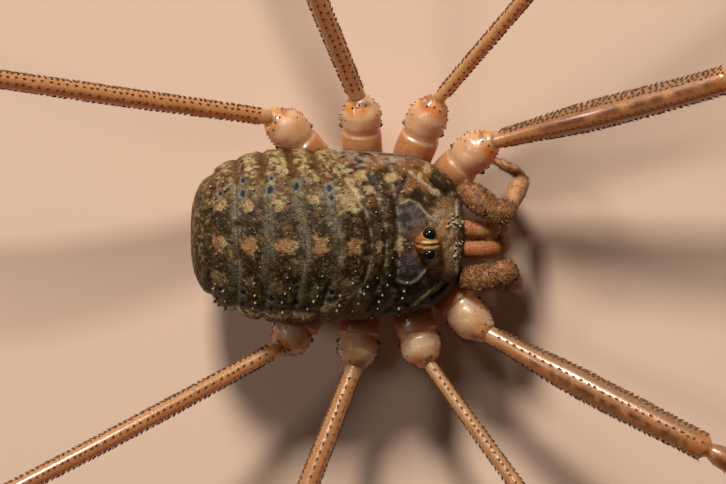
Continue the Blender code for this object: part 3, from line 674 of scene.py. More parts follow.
def shield_tints(fine, middling, broad):
    """The head shield's ground: dark, blotched with brown, tan in front, pale lines on its furrows."""
    tint = blend(NEAR_BLACK, (0.100, 0.055, 0.022), ease(0.5 * middling + 0.5 * fine, 0.36, 0.72))
    outer = ease(OFF_MIDDLE, 0.95, 1.30)
    tint = laid(tint, (0.21, 0.085, 0.024), 0.8 * ease(broad, 0.50, 0.68) * outer)
    tint = laid(tint, CREAM, 0.8 * ease(middling, 0.70, 0.82) * outer)
    field = blend((0.052, 0.044, 0.041), (0.118, 0.103, 0.099), ease(0.6 * middling + 0.4 * broad, 0.35, 0.65))
    tint = laid(tint, field, 0.75 * oval((2.32, 0.62), (0.36, 0.48)))
    tint = laid(tint, NEAR_BLACK, 0.9 * oval((1.82, 0.80), (0.12, 0.42)))
    tint = laid(tint, NEAR_BLACK, 0.9 * oval((2.42, 1.28), (0.30, 0.13)))
    tint = laid(tint, (0.20, 0.075, 0.018), 0.6 * oval((2.85, 0.0), (0.60, 0.50), soft=0.6))
    tint = laid(tint, (0.44, 0.255, 0.120), 0.85 * oval((3.22, 0.48), (0.42, 0.58), soft=0.5))
    tint = laid(tint, (0.13, 0.065, 0.025), 0.5 * ease(middling, 0.60, 0.75) * oval((3.25, 0.50), (0.40, 0.60)))
    for place, size, turned in (((3.18, 0.84), (0.30, 0.07), 4), ((2.95, 0.62), (0.20, 0.09), -40)):
        tint = laid(tint, (0.36, 0.285, 0.190), 0.55 * oval(place, size, turned, ragged=0.8, soft=0.6))
    tint = laid(tint, (0.20, 0.075, 0.020), 0.55 * oval((2.35, 1.60), (0.26, 0.16), ragged=0.8))
    tint = laid(tint, NEAR_BLACK, 0.85 * oval((3.12, 1.50), (0.30, 0.15), -30))
    for furrow in (WAIST, 1.60, 1.95):
        line = np.exp(-(((BAND + 0.02 * RAGGED - furrow - 0.045) / 0.020) ** 2))
        tint = laid(tint, (0.30, 0.26, 0.20), 0.55 * line * ease(middling, 0.3, 0.6))
    edge = ease(OFF_MIDDLE + 0.3 * DRIFT_Y, 2.02, 2.16) * ease(middling, 0.30, 0.55)
    return laid(tint, (0.26, 0.185, 0.14), 0.8 * edge)


def body_tints():
    """The colour of every grid point: each mark is laid over the ones before it."""
    fine, middling, broad = (noise(plain_body, size, 5) for size in (0.045, 0.11, 0.30))
    shield = ease(BAND, WAIST - 0.03, WAIST + 0.03)
    abdomen = abdomen_tints(fine, middling, broad)
    tint = abdomen + (shield_tints(fine, middling, broad) - abdomen) * shield[..., None]
    patchy = 0.55 + 0.45 * ease(middling, 0.3, 0.5)
    for groove in DARK_GROOVES:
        tint = laid(tint, NEAR_BLACK, stroke(groove, 0.075))
    for centre, size, turned in SADDLE_PATCHES:
        tint = laid(tint, blend(TAN, CREAM, ease(fine, 0.3, 0.6)), 0.9 * patchy * oval(centre, size, turned))
    for centre, size in PALE_DOTS:
        tint = laid(tint, CREAM, 0.9 * oval(centre, (size, size), drift=0.5))
    for place, size in MIDDLE_SPOTS:
        spot = patchy * oval((place, 0.0), (size, size * 1.15), ragged=0.9)
        tint = laid(tint, blend(TAN, PINK, ease(fine, 0.2, 0.5)), 0.9 * spot)
        front = (place + 0.75 * size, 0.0)
        tint = laid(tint, CREAM, 0.6 * oval(front, (0.45 * size, 0.6 * size), ragged=1.1))
    tint = laid(tint, CREAM, 0.85 * oval((1.97, 0.0), (0.10, 0.24)))
    tint = laid(tint, CREAM, 0.75 * patchy * oval((0.70, 1.26), (0.17, 0.36), -24, ragged=0.6))
    tint = laid(tint, PALE_CREAM, 0.85 * patchy * stroke(WEDGE_EDGE, 0.045))
    for ridge in PALE_RIDGES:
        tint = laid(tint, (0.36, 0.285, 0.190), (0.45 + 0.45 * ease(middling, 0.3, 0.6)) * stroke(ridge, 0.045))
    tint = laid(tint, BLUE_GREY, 0.8 * stroke(((2.12, 0.0), (2.38, 0.0)), 0.025))
    crust = 0.8 * ease(fine, 0.35, 0.6) * ease(middling, 0.3, 0.6)
    tint = laid(tint, (0.50, 0.44, 0.34), crust * oval((3.48, 0.35), (0.20, 0.26), ragged=0.8, soft=0.5))
    tint = laid(tint, (0.50, 0.45, 0.37), 0.8 * stroke(((3.53, 0.60), (3.56, 0.92)), 0.045))
    for centre, size in MUSCLE_SPOTS:
        ring = oval(centre, (0.13 * size, 0.16 * size), ragged=0.4, soft=0.4, drift=0.2)
        tint = laid(tint, BLUE_GREY, 0.65 * ring)
        tint = laid(tint, (0.012, 0.014, 0.018), oval(centre, (0.075 * size, 0.085 * size), ragged=0.3, drift=0.2))
    # Painted shade: everything on the right half is painted up to half as bright, for the flank that faces away from
    # the lamp.
    tint = tint * (1 - 0.50 * ease(-Y, 0.25, 1.30))[..., None]
    for streak in RIGHT_STREAKS:
        share = ease(0.5 * middling + 0.5 * fine, 0.36, 0.52) * ease(-Y, 0.2, 0.6)
        tint = laid(tint, STREAK_CREAM, 0.95 * share * stroke(streak, 0.11))
    belly = blend(BELLY, BELLY_BROWN, 0.6 * ease(broad + 0.4 * middling, 0.55, 0.95))
    belly = laid(belly, BELLY_BROWN, 0.7 * near_furrow(0.06, BELLY_FURROWS) + 0.6 * ease(fine, 0.70, 0.82))
    belly = laid(belly, BELLY_BROWN, 0.8 * np.exp(-(((LID - 1) / 0.07) ** 2)))
    return tint + (belly - tint) * (BELOW * (0.80 + 0.20 * broad))[..., None]


body_colours = body_tints()
body_points, body_faces = shell(body_grid)
piece("back_skin", body_points, body_faces, with_poles(body_colours), SKIN, "back", ["abdomen", "head_shield"])

# %% [markdown]
# ## Legs
#
# The path of a leg is worked out from the same lengths, compass angles and heights as the solids:
# hip, knee, shank and ankle lie in one steep plane, and the foot lies on the floor.

# %% Where the legs go
LEG_LENGTHS = {
    1: {"femur": 6.9, "patella": 1.9, "tibia": 6.0, "metatarsus": 6.6, "tarsus": 9.5},
    2: {"femur": 12.0, "patella": 2.2, "tibia": 10.5, "metatarsus": 11.0, "tarsus": 18.0},
    3: {"femur": 7.0, "patella": 1.8, "tibia": 5.8, "metatarsus": 8.0, "tarsus": 10.5},
    4: {"femur": 10.0, "patella": 2.0, "tibia": 8.2, "metatarsus": 11.5, "tarsus": 14.0},
}
LEGS = {
    "leg1_left": dict(pair=1, hip=(4.00, 2.23, 2.2), reach=0.82, femur=17.5, tibia=27, tarsus=35),
    "leg2_left": dict(pair=2, hip=(2.70, 3.12, 2.2), reach=0.80, femur=52, tibia=59, tarsus=68),
    "leg3_left": dict(pair=3, hip=(0.92, 3.27, 2.2), reach=0.62, femur=111, tibia=119, tarsus=128),
    "leg4_left": dict(pair=4, hip=(-1.05, 2.87, 2.2), reach=0.76, femur=169, tibia=160, tarsus=153),
    "leg1_right": dict(pair=1, hip=(3.90, -2.33, 2.2), reach=0.80, femur=-25.5, tibia=-38, tarsus=-45),
    "leg2_right": dict(pair=2, hip=(2.60, -3.22, 2.2), reach=0.52, femur=-52.3, tibia=-61, tarsus=-71),
    "leg3_right": dict(pair=3, hip=(0.82, -3.30, 2.2), reach=0.52, femur=-112.3, tibia=-120, tarsus=-128),
    "leg4_right": dict(pair=4, hip=(-1.05, -2.90, 2.2), reach=0.52, femur=-154.5, tibia=-147, tarsus=-141),
}
COXA_ROOT = {1: (2.55, 0.70, 1.45), 2: (1.85, 0.75, 1.38), 3: (1.0, 0.75, 1.36), 4: (0.5, 0.75, 1.42)}
KNEE_HEIGHT = {1: 4.5, 2: 6.2, 3: 4.4, 4: 5.4}
SHANK_HEIGHT = {1: 2.9, 2: 4.0, 3: 2.9, 4: 3.6}
KNEE_DIP = 0.12
ANKLE_HEIGHT = 0.42
TARSUS_TURN = 16
TARSUS_SHARES = (0.06, 0.14, 0.30, 0.50, 0.72, 0.93, 1.0)
TARSUS_LANDING = 0.14
TROCHANTER_INWARD = 0.42
THIGH_ARCH = 0.03


def heading(degrees, run, rise):
    """A step that goes run along the compass angle and rise up."""
    return np.array([run * np.cos(np.radians(degrees)), run * np.sin(np.radians(degrees)), rise])


def level_run(length, rise):
    """How far a straight stretch of that length goes over the floor while it rises."""
    return np.sqrt(length * length - rise * rise)


def leg_joints(leg):
    """Places of a leg's joints in mm, each worked out from the one before it."""
    pair, hip = leg["pair"], np.array(leg["hip"])
    lengths = LEG_LENGTHS[pair]
    root = np.array(COXA_ROOT[pair]) * [1, np.sign(hip[1]), 1]
    inward = unit(root - hip)
    rise = KNEE_HEIGHT[pair] - hip[2]
    thigh = heading(leg["femur"], level_run(lengths["femur"], rise), rise)
    outlet = hip + unit(unit(thigh) - inward) * leg["reach"]
    knee = outlet + thigh
    knee[2] = KNEE_HEIGHT[pair]
    bend = (leg["femur"] + leg["tibia"]) / 2
    below_knee = knee + heading(bend, lengths["patella"], -KNEE_DIP)
    drop = SHANK_HEIGHT[pair] - below_knee[2]
    shank = below_knee + heading(leg["tibia"], level_run(lengths["tibia"], drop), drop)
    fall = ANKLE_HEIGHT - shank[2]
    lower = (leg["tibia"] + leg["tarsus"]) / 2
    ankle = shank + heading(lower, level_run(lengths["metatarsus"], fall), fall)
    return {"root": root, "entry": hip + inward * TROCHANTER_INWARD, "hip": hip, "outlet": outlet,
            "knee": knee, "below_knee": below_knee, "shank": shank, "ankle": ankle}


def foot_line(leg, ankle, sole):
    """The tarsus: it comes down to its own radius over the floor and turns slowly as it lies."""
    length = LEG_LENGTHS[leg["pair"]]["tarsus"]
    turned = np.copysign(TARSUS_TURN, leg["tarsus"])
    points, before = [ankle], 0.0
    for share in TARSUS_SHARES:
        place = points[-1] + heading(leg["tarsus"] + turned * share, length * (share - before), 0)
        place[2] = sole + (ANKLE_HEIGHT - sole) * max(0.0, 1 - share / TARSUS_LANDING)
        points.append(place)
        before = share
    return np.array(points)


print("left front knee:", leg_joints(LEGS["leg1_left"])["knee"].round(2))

# %% [markdown]
# Beyond the hip joint a leg is one skin from thigh to claw. A table of stations says how thick it
# is and which colour it has, in shares of each segment, and the skin follows them smoothly. The
# joints are narrow necks between a swollen collar and the next segment.

# %% Thickness and colour along a leg
THIGH_RADIUS = {1: 0.395, 2: 0.195, 3: 0.268, 4: 0.240}
THIGH_NECK = {1: 0.62, 2: 0.90, 3: 0.90, 4: 0.88}
SHIN_RADIUS = {1: 0.22, 2: 0.15, 3: 0.18, 4: 0.17}
FOOT_RADIUS = 0.085
LEG_COLUMNS = 28
LEG_TAN = (0.37, 0.147, 0.040)
LEG_PALE = (0.47, 0.240, 0.105)
LEG_BROWN = (0.13, 0.042, 0.011)
# Painted sheen: the grey laid on the front thighs' upper flank, which faces the lamp.
PAINTED_SHEEN_GREY = (0.15, 0.088, 0.042)
COLLAR_ORANGE = (0.40, 0.150, 0.035)


def leg_line(leg):
    """The centre line from the thigh's base to the claw, and the distances of its joints."""
    at = leg_joints(leg)
    lengths = LEG_LENGTHS[leg["pair"]]
    middle = (at["outlet"] + at["knee"]) / 2 + [0, 0, THIGH_ARCH * lengths["femur"]]
    inner = at["outlet"] - unit(at["outlet"] - at["hip"]) * 0.16
    foot = foot_line(leg, at["ankle"], 1.08 * FOOT_RADIUS)
    knots = [inner, at["outlet"], middle, at["knee"], at["below_knee"], at["shank"],
             (at["shank"] + at["ankle"]) / 2, at["ankle"]]
    line = curve(np.vstack([knots, foot[1:]]), 40)
    along = travelled(line)
    joints = {name: along[40 * k] for name, k in
              (("outlet", 1), ("knee", 3), ("below_knee", 4), ("shank", 5), ("ankle", 7))}
    return line, joints, along[-1]


def leg_profile(pair, distance, joints, total):
    """Radius at each distance: eased steps between the segments' own radii, necks at the joints."""
    thigh, shin = THIGH_RADIUS[pair], SHIN_RADIUS[pair]
    start, knee, lower_knee, shank, ankle = joints.values()
    share = (distance - start) / (knee - start)
    neck = THIGH_NECK[pair]
    radius = thigh * (neck + (1 - neck) * ease(share, 0, 0.45)) * (1 - 0.08 * ease(share, 0.5, 1))
    knee_radius = 0.80 * thigh * (0.72 + 0.28 * ease(distance, knee, knee + 0.5))
    radius = blend_at(radius, knee_radius, distance, knee, 0.06)
    radius = blend_at(radius, shin * (1 - 0.12 * ease(distance, lower_knee, shank)), distance, lower_knee, 0.10)
    radius = blend_at(radius, 0.72 * shin, distance, shank, 0.08)
    foot = FOOT_RADIUS * (1 - 0.45 * ease(distance, ankle, total))
    beads = 1 + 0.07 * np.cos(2 * np.pi * (distance - ankle) / 0.62) * ease(distance, ankle + 1.5, ankle + 3)
    radius = blend_at(radius, foot * beads, distance, ankle, 0.12)
    for joint in (knee, lower_knee, shank, ankle):
        radius = radius * (1 - 0.22 * np.exp(-(((distance - joint) / 0.07) ** 2)))
    return radius * round_ends(distance, total, 0.12, 0.15)


def blend_at(before, after, distance, joint, reach):
    """One value before a joint and another after it, with a soft step of that reach."""
    return before + (after - before) * ease(distance, joint - reach, joint + reach)


def leg_tints(pair, left, grid, distance, joints, total):
    """Tan, with a dark broken stripe on top, fine lengthwise streaks and pale or dark joints."""
    knee, lower_knee, shank, ankle = list(joints.values())[1:]
    start = joints["outlet"]
    angle = (np.arange(LEG_COLUMNS) * 360 / LEG_COLUMNS)[None]
    far = distance[:, None]
    blotch = noise(grid, 0.35, 11)
    streak = noise(np.stack(np.broadcast_arrays(far * 0.25, angle / 14.0, 0 * angle), axis=-1), 1.0, 13)
    paleness = {1: 0.30, 2: 0.70, 3: 0.40, 4: 0.50}[pair]
    tint = blend(LEG_TAN, LEG_PALE, paleness + 0.3 * ease(0.6 * streak + 0.4 * noise(grid, 0.9, 12), 0.35, 0.75))
    if pair == 1:
        # Painted sheen: on the front thighs the upper flank that faces the lamp is painted grey.
        tint = laid(tint, PAINTED_SHEEN_GREY, 0.65 * ease(angle, 116, 132) * (1 - ease(angle, 186, 205)) + 0 * far)
    # Painted highlight: a pale band along the upper flank of every thigh, where the lamp's gloss runs.
    ridge = np.exp(-(((angle - 116) / 14) ** 2)) + 0 * far
    tint = laid(tint, LEG_PALE, 0.6 * ridge)
    stripe = np.exp(-(((angle - (98 if left else 76)) / 17) ** 2)) * ease(far, start + 0.4, start + 2.0)
    stripe = stripe * ease(0.5 * blotch + 0.5 * noise(grid, 0.15, 15), 0.25, 0.62)
    tint = laid(tint, (0.120, 0.036, 0.007), stripe * (1.0 if pair == 1 else 0.35))
    # Painted shade: the underside of every leg is painted a little browner.
    tint = laid(tint, LEG_BROWN, 0.15 * ease(np.abs(angle - 96), 60, 86) + 0 * far)
    tint = laid(tint, COLLAR_ORANGE, 0.8 * np.exp(-(((far - knee + 0.28) / 0.22) ** 2)) + 0 * angle)
    tint = laid(tint, LEG_PALE, 0.7 * np.exp(-(((far - knee + 0.06) / 0.10) ** 2)) + 0 * angle)
    tint = laid(tint, LEG_PALE, 0.7 * np.exp(-(((far - start - 0.05) / 0.25) ** 2)) + 0 * angle)
    shade = 0.45 * np.exp(-(((far - knee - 0.9) / 0.7) ** 2)) + 0.6 * np.exp(-(((far - shank) / 0.9) ** 2))
    shade = shade + 0.35 * np.exp(-(((far - (lower_knee + shank) / 2) / 1.2) ** 2))
    tint = laid(tint, LEG_BROWN, shade * (0.6 + 0.8 * blotch))
    beads = 0.5 + 0.5 * np.cos(2 * np.pi * (far - ankle) / 0.62)
    return laid(tint, LEG_BROWN, 0.5 * ease(far, ankle, ankle + 2) * beads + 0 * angle)


def leg_stations(joints, total):
    """Ring places: close together on the thigh and round the joints, wider apart beyond them."""
    fine = [np.arange(0, joints["knee"] + 1.0, 0.075)]
    fine += [np.arange(joints[name] - 0.3, joints[name] + 0.3, 0.05) for name in ("below_knee", "shank", "ankle")]
    wide = np.arange(joints["knee"] + 1.0, total, 0.155)
    ends = np.concatenate([np.linspace(0, 0.12, 5), total - np.linspace(0, 0.15, 6)])
    return np.unique(np.clip(np.concatenate(fine + [wide, ends]), 0, total).round(4))


# %% [markdown]
# The denticles of a thigh stand in eight rows. They lean towards the foot and their tips are dark.
# Beyond the knee they give way to short bristles, in the same rows but thinner and sparser.

# %% Legs from thigh to claw
THIN_EDGES = (-20, -6, 8, 22, 160, 174, 188, 202, 240, 300)
EDGE_ROWS = {1: (-26, -14, -2, 10, 24, 134, 148, 162, 175, 188, 202, 240, 300),
             2: THIN_EDGES, 3: THIN_EDGES, 4: THIN_EDGES}
TOP_ROWS = {1: (69,), 2: (75,), 3: (56, 101), 4: (54, 101)}


def row_spots(pair, left, joints, total):
    """Distance, angle and size of every denticle of one leg, row by row.

    The rows of a right leg are those of a left one, mirrored: 180 degrees less the angle.
    """
    spots = []
    for row, degrees in enumerate(EDGE_ROWS[pair] + TOP_ROWS[pair]):
        angle = np.radians(degrees if left else 180 - degrees)
        strong = 1.35 if degrees in TOP_ROWS[pair] else 1.0
        far = joints["outlet"] + 0.05 + 0.09 * (row % 2)
        steps = rng.uniform(0.12, 0.20, int((joints["knee"] - far) / 0.12)) * strong
        places = far + np.cumsum(steps)
        places = places[places < joints["knee"] - 0.12]
        strays = rng.normal(0, 0.04, len(places))
        spots.append(np.column_stack([places, angle + strays, np.full(len(places), strong)]))
        places = np.arange(joints["knee"] + 0.25 + 0.2 * (row % 2), total - 0.3, 0.42)
        if row % 2 == 0:
            places = places + rng.uniform(-0.08, 0.08, len(places))
            strays = rng.normal(0, 0.15, len(places))
            spots.append(np.column_stack([places, angle + strays, np.zeros(len(places))]))
    return np.vstack(spots)


def make_leg(name, leg):
    """One leg's skin and its spines."""
    line, joints, total = leg_line(leg)
    distance = leg_stations(joints, total)
    centres = respaced(line, distance)
    radius = leg_profile(leg["pair"], distance, joints, total)
    grid, out = sweep(centres, radius, LEG_COLUMNS)
    left = leg["hip"][1] > 0
    tints = leg_tints(leg["pair"], left, grid, distance, joints, total)
    points, faces = shell(grid)
    nodes = [name + "_" + part for part in ("femur", "tibia", "metatarsus", "tarsus")]
    piece(name + "_skin", points, faces, with_poles(tints), SHELL, "limb", nodes)

    spots = row_spots(leg["pair"], left, joints, total)
    far, angle, thick = spots.T
    place = np.column_stack([np.interp(far, distance, centres[:, k]) for k in range(3)])
    girth = np.interp(far, distance, radius)
    along = unit(np.column_stack([np.interp(far, distance, np.gradient(centres[:, k], distance)) for k in range(3)]))
    side = unit(np.cross(along, (0, 0, 1)))
    outward = np.cos(angle)[:, None] * side + np.sin(angle)[:, None] * np.cross(side, along)
    big = thick > 0.5
    size = np.where(big, 0.078 if leg["pair"] == 1 else 0.068, 0.09) * rng.uniform(0.7, 1.2, len(far))
    width = np.where(big, 0.021 * thick, 0.008)
    aims = unit(outward + along * np.where(big, 1.0, 1.2)[:, None])
    roots = place + outward * girth[:, None]
    keep = roots[:, 2] + size * np.minimum(aims[:, 2], 0) > 0.01
    roots, aims, size, width = roots[keep], aims[keep], size[keep], width[keep]
    points, faces, height, number = spines(roots, aims, size, width, along[keep] * 0.25,
                                           girths=(1.45, 1.15, 0.55, 0.1))
    points[:, 2] = np.maximum(points[:, 2], 0.004)
    tints = blend(DENTICLE_ROOT, DENTICLE_TIP, ease(height, 0.45, 1.0))
    root_map = np.column_stack([(angle[keep] / (2 * np.pi)) % 1, far[keep] / total])
    patches = bake_patches(root_map, number, height)
    piece(name + "_spines", points, faces, tints, SPINE, "limb", patches=patches)


for leg_name, leg in LEGS.items():
    make_leg(leg_name, leg)

# %% [markdown]
# ## Granules
#
# Each plate carries a cross row of granules, small blunt cones with a whitish tip that sparkle in
# the light. More are strewn over the head shield, and a few stand in clusters on its front edge.

# %% Granules on the back
GRANULE_ROWS = (-3.05, -2.80, -1.92, -0.98, -0.03, 0.86, 1.40, 1.78, 2.20)
FRONT_CLUSTERS = ((3.52, 0.38, 0.13, 14), (3.60, -0.17, 0.07, 6), (3.46, -0.42, 0.06, 4))
back_normals = normals(body_grid)


def granule_spots():
    """Where the granules stand, as (place along, place across, size)."""
    spots = []
    for row in GRANULE_ROWS:
        across = np.arange(-2.1, 2.1, 0.25)
        across = across + rng.uniform(-0.07, 0.07, len(across))
        along = row - waist_bow(np.full(len(across), row)) * across**2 + rng.normal(0, 0.05, len(across))
        size = rng.uniform(0.7, 1.25, len(across)) * (0.75 + 0.55 * ease(np.abs(across), 0.7, 1.5))
        spots.append(np.column_stack([along, across, size]))
    for start, end, wide, count in ((-3.3, 1.1, 2.1, 80), (1.2, 3.5, 1.9, 24)):
        places = rng.uniform((start, -wide, 0.35), (end, wide, 0.6), (count, 3))
        spots.append(places)
    for along, across, reach, count in FRONT_CLUSTERS:
        places = rng.normal((along, across, 1.15), (reach, reach, 0.1), (count, 3))
        spots.append(places)
    spots = np.vstack(spots)
    on_field = np.hypot((spots[:, 0] - 2.32) / 0.40, (np.abs(spots[:, 1]) - 0.62) / 0.50) < 1
    return spots[~on_field]


def make_granules():
    """Granules on the nearest points of the back's grid."""
    flat, outward = body_grid.reshape(-1, 3), back_normals.reshape(-1, 3)
    upper = np.flatnonzero(outward[:, 2] > 0.25)
    spots = granule_spots()
    nearest = upper[[np.argmin((flat[upper, 0] - x) ** 2 + (flat[upper, 1] - y) ** 2) for x, y, _ in spots]]
    size = spots[:, 2]
    aims = unit(outward[nearest] + [-0.25, 0, 0])
    points, faces, height, number = spines(
        flat[nearest], aims, 0.058 * size, 0.036 * size, levels=(-0.5, 0.3, 0.8, 1.0), girths=(1.15, 0.9, 0.5, 0.15))
    ground = with_poles(body_colours)[nearest][number]
    paleness = (ease(size, 0.45, 0.9)[number] * ease(height, 0.25, 0.9))[:, None]
    tints = ground + (np.array([0.46, 0.37, 0.23]) - ground) * paleness
    rows, columns = np.divmod(nearest, body_grid.shape[1])
    root_map = np.column_stack([columns / body_grid.shape[1], rows / body_grid.shape[0]])
    piece("back_granules", points, faces, tints, SPINE, "back", patches=bake_patches(root_map, number, height))


make_granules()

# %% [markdown]
# ## Eyes
#
# The two eyes sit on a small hill on the head shield and look out to the sides. The hill is orange
# with two pale stripes along its crest, and an orange rim runs round each eye.

# %% Eye tubercle and eyes
TUBERCLE_PLACE = np.array([2.73, 0.0, 3.78])
TUBERCLE_HALF_SIZE = np.array([0.38, 0.33, 0.54])
EYE_PLACE = np.array([2.79, 0.27, 4.10])
EYE_RADIUS = 0.195


def ball(rings, columns):
    """A grid of unit directions whose poles lie on the x axis."""
    polar = (np.arange(rings) + 0.5) / rings * np.pi
    around = np.arange(columns) * 2 * np.pi / columns
    return np.stack([np.repeat(-np.cos(polar)[:, None], columns, 1), np.sin(polar)[:, None] * np.cos(around),
                     np.sin(polar)[:, None] * np.sin(around)], axis=-1)


def make_tubercle():
    """An egg with a shallow groove along its crest and a swollen rim round each eye."""
    way = ball(90, 96)
    place = TUBERCLE_PLACE + way * TUBERCLE_HALF_SIZE
    crest = ease(way[..., 2], 0.2, 0.8)
    across = np.abs(place[..., 1])
    height = -0.035 * np.exp(-((across / 0.03) ** 2)) * crest
    height = height + 0.015 * np.exp(-(((across - 0.075) / 0.035) ** 2)) * crest
    to_eye = np.linalg.norm(place * [1, 0, 1] + np.stack([0 * across, across, 0 * across], -1) - EYE_PLACE, axis=-1)
    rim = np.exp(-(((to_eye - 0.20) / 0.03) ** 2))
    height = height + 0.02 * rim + 0.012 * (noise(place, 0.06, 21) - 0.5)
    grid = place + way * height[..., None]
    tint = blend((0.20, 0.062, 0.012), (0.33, 0.13, 0.03), ease(noise(place, 0.10, 22), 0.3, 0.8))
    off_middle = np.abs(place[..., 0] - EYE_PLACE[0]) + 0.10 * (noise(place, 0.05, 23) - 0.5)
    crown = crest * (1 - ease(off_middle, 0.15, 0.27))
    tint = laid(tint, (0.66, 0.46, 0.19), crown * np.exp(-(((across - 0.082) / 0.034) ** 2)))
    tint = laid(tint, NEAR_BLACK, 0.9 * crown * np.exp(-((across / 0.026) ** 2)))
    tint = laid(tint, NEAR_BLACK, 0.7 * crown * np.exp(-(((across - 0.150) / 0.020) ** 2)))
    tint = laid(tint, (0.42, 0.15, 0.028), 0.8 * rim)
    tint = laid(tint, NEAR_BLACK, 0.6 * (1 - ease(place[..., 2], 3.75, 3.95)))
    points, faces = shell(grid)
    piece("eye_hill", points, faces, with_poles(tint), PALP, "palp", ["eye_tubercle"])


make_tubercle()
for side, eye_name in ((1, "eye_left"), (-1, "eye_right")):
    globe = EYE_PLACE * [1, side, 1] + ball(40, 48) * EYE_RADIUS
    eye_points, eye_faces = shell(globe)
    black = np.full(eye_points.shape, 0.004)
    piece(eye_name + "_globe", eye_points, eye_faces, black, EYE, "eye", [eye_name])

# %% [markdown]
# ## Hips
#
# A leg leaves the body through a thick coxa and a barrel-shaped trochanter. The coxa ends in an
# orange-brown cup. The trochanter is creamy pink and glossy, with an orange rim at its outer end
# and a few black points.

# %% Coxae and trochanters
COXA_STATIONS = ((0.0, 0.34), (0.35, 0.48), (0.70, 0.555), (0.90, 0.56), (0.97, 0.545), (1.0, 0.49))
CUP_ORANGE = (0.46, 0.200, 0.078)
JOINT_CREAM = (0.58, 0.375, 0.23)
JOINT_PINK = (0.50, 0.280, 0.145)
RIM_ORANGE = (0.56, 0.195, 0.022)


def hip_line(leg):
    """Centre line from the coxa's root to the thigh, and the distance of the joint between them."""
    at = leg_joints(leg)
    forward = unit(at["knee"] - at["outlet"])
    knots = [at["root"], (at["root"] + at["entry"]) / 2, at["entry"], at["hip"], at["outlet"] - forward * 0.12]
    line = np.vstack([curve(knots, 40)[:-1], curve([at["outlet"] - forward * 0.12, at["outlet"]], 8)])
    return line, travelled(line)[80]


def make_hip(name, leg):
    """Coxa and trochanter as one skin with a neck between them, and the trochanter's points."""
    line, joint = hip_line(leg)
    total = travelled(line)[-1]
    distance = np.unique(np.concatenate([np.linspace(0, total, 90), np.linspace(joint - 0.25, joint + 0.25, 30),
                                         np.linspace(total - 0.2, total, 12)]))
    centres = respaced(line, distance)
    share = np.clip((distance - joint) / (total - joint), 0, 1)
    barrel = 0.555 * (0.88 + 0.12 * ease(share, 0, 0.22)) * (1 - 0.46 * ease(share, 0.46, 1.02))
    shares, radii = zip(*COXA_STATIONS)
    radius = blend_at(np.interp(distance / joint, shares, radii), barrel, distance, joint, 0.03)
    grid, out = sweep(centres, radius * round_ends(distance, total, 0.15, 0.22), 48)
    folds = np.abs(2 * noise(grid, 0.30, 36) - 1)
    grid = grid + out * (0.030 * (noise(grid, 0.35, 31) - 0.5) + 0.030 * (folds - 0.3))[..., None]
    far = distance[:, None] - joint + 0 * out[..., 0]
    outer = far / (total - joint)
    top = ease(out[..., 2], -0.2, 0.9)
    coxa = blend((0.34, 0.15, 0.055), CUP_ORANGE, ease(far / joint, -0.6, -0.1))
    barrel = blend(JOINT_PINK, JOINT_CREAM, 0.25 + 0.5 * top * ease(noise(grid, 0.5, 33), 0.2, 0.7))
    tint = coxa + (barrel - coxa) * ease(far, -0.03, 0.05)[..., None]
    tint = laid(tint, JOINT_CREAM, 0.75 * top * np.exp(-(((far - 0.05) / 0.09) ** 2)))
    edge = outer + 0.25 * (noise(grid, 0.30, 35) - 0.5)
    tint = laid(tint, RIM_ORANGE, 0.90 * ease(edge, 0.60, 0.82) * ease(noise(grid, 0.34, 37), 0.25, 0.55))
    tint = laid(tint, LEG_BROWN, 0.65 * ease(noise(grid, 0.20, 34), 0.54, 0.74) * ease(outer, 0.66, 0.80))
    points, faces = shell(grid)
    piece(name + "_hip_skin", points, faces, with_poles(tint), JOINT, "joint", [name + "_trochanter"])

    along = unit(np.gradient(centres, axis=0))
    reaches = np.array([0.14, 0.14, 0.82, 0.86, 0.80, 0.50, 0.46])
    rings = np.searchsorted(distance, joint + (total - joint) * reaches)
    columns = np.array([1, 23, 8, 12, 16, 5, 19])
    more = rng.integers(np.searchsorted(distance, joint + 0.1), len(distance) - 8, 16)
    fringe = np.searchsorted(distance, joint + (total - joint) * np.tile(np.linspace(0.20, 0.80, 9), 2))
    rings = np.concatenate([rings, more, fringe])
    sides = np.repeat([1, 23], 9) + np.tile([0, 1, -1], 6)
    columns = np.concatenate([columns, rng.integers(0, 48, 16), sides])
    roots = grid[rings, columns]
    aims = unit(out[rings, columns] + 0.5 * along[rings])
    length = np.concatenate([[0.09, 0.09, 0.06, 0.06, 0.06, 0.04, 0.04], np.full(16, 0.045), np.full(18, 0.055)])
    width = np.concatenate([[0.060, 0.060, 0.040, 0.040, 0.040, 0.026, 0.026], np.full(16, 0.012), np.full(18, 0.022)])
    points, faces, height, number = spines(roots, aims, length, width)
    tints = blend((0.22, 0.08, 0.03), (0.030, 0.012, 0.006), ease(height, 0.0, 0.5))
    root_map = np.column_stack([columns / 48, distance[rings] / total])
    piece(name + "_hip_points", points, faces, tints, SPINE, "joint", patches=bake_patches(root_map, number, height))


for leg_name, leg in LEGS.items():
    make_hip(leg_name, leg)

# %% [markdown]
# ## Palps and jaws
#
# Under the front edge are two palps, bent like arms, and two small pincers. The thick inner part of
# a palp is so densely covered in dark spinules that it looks furry, and the outer part is smooth.

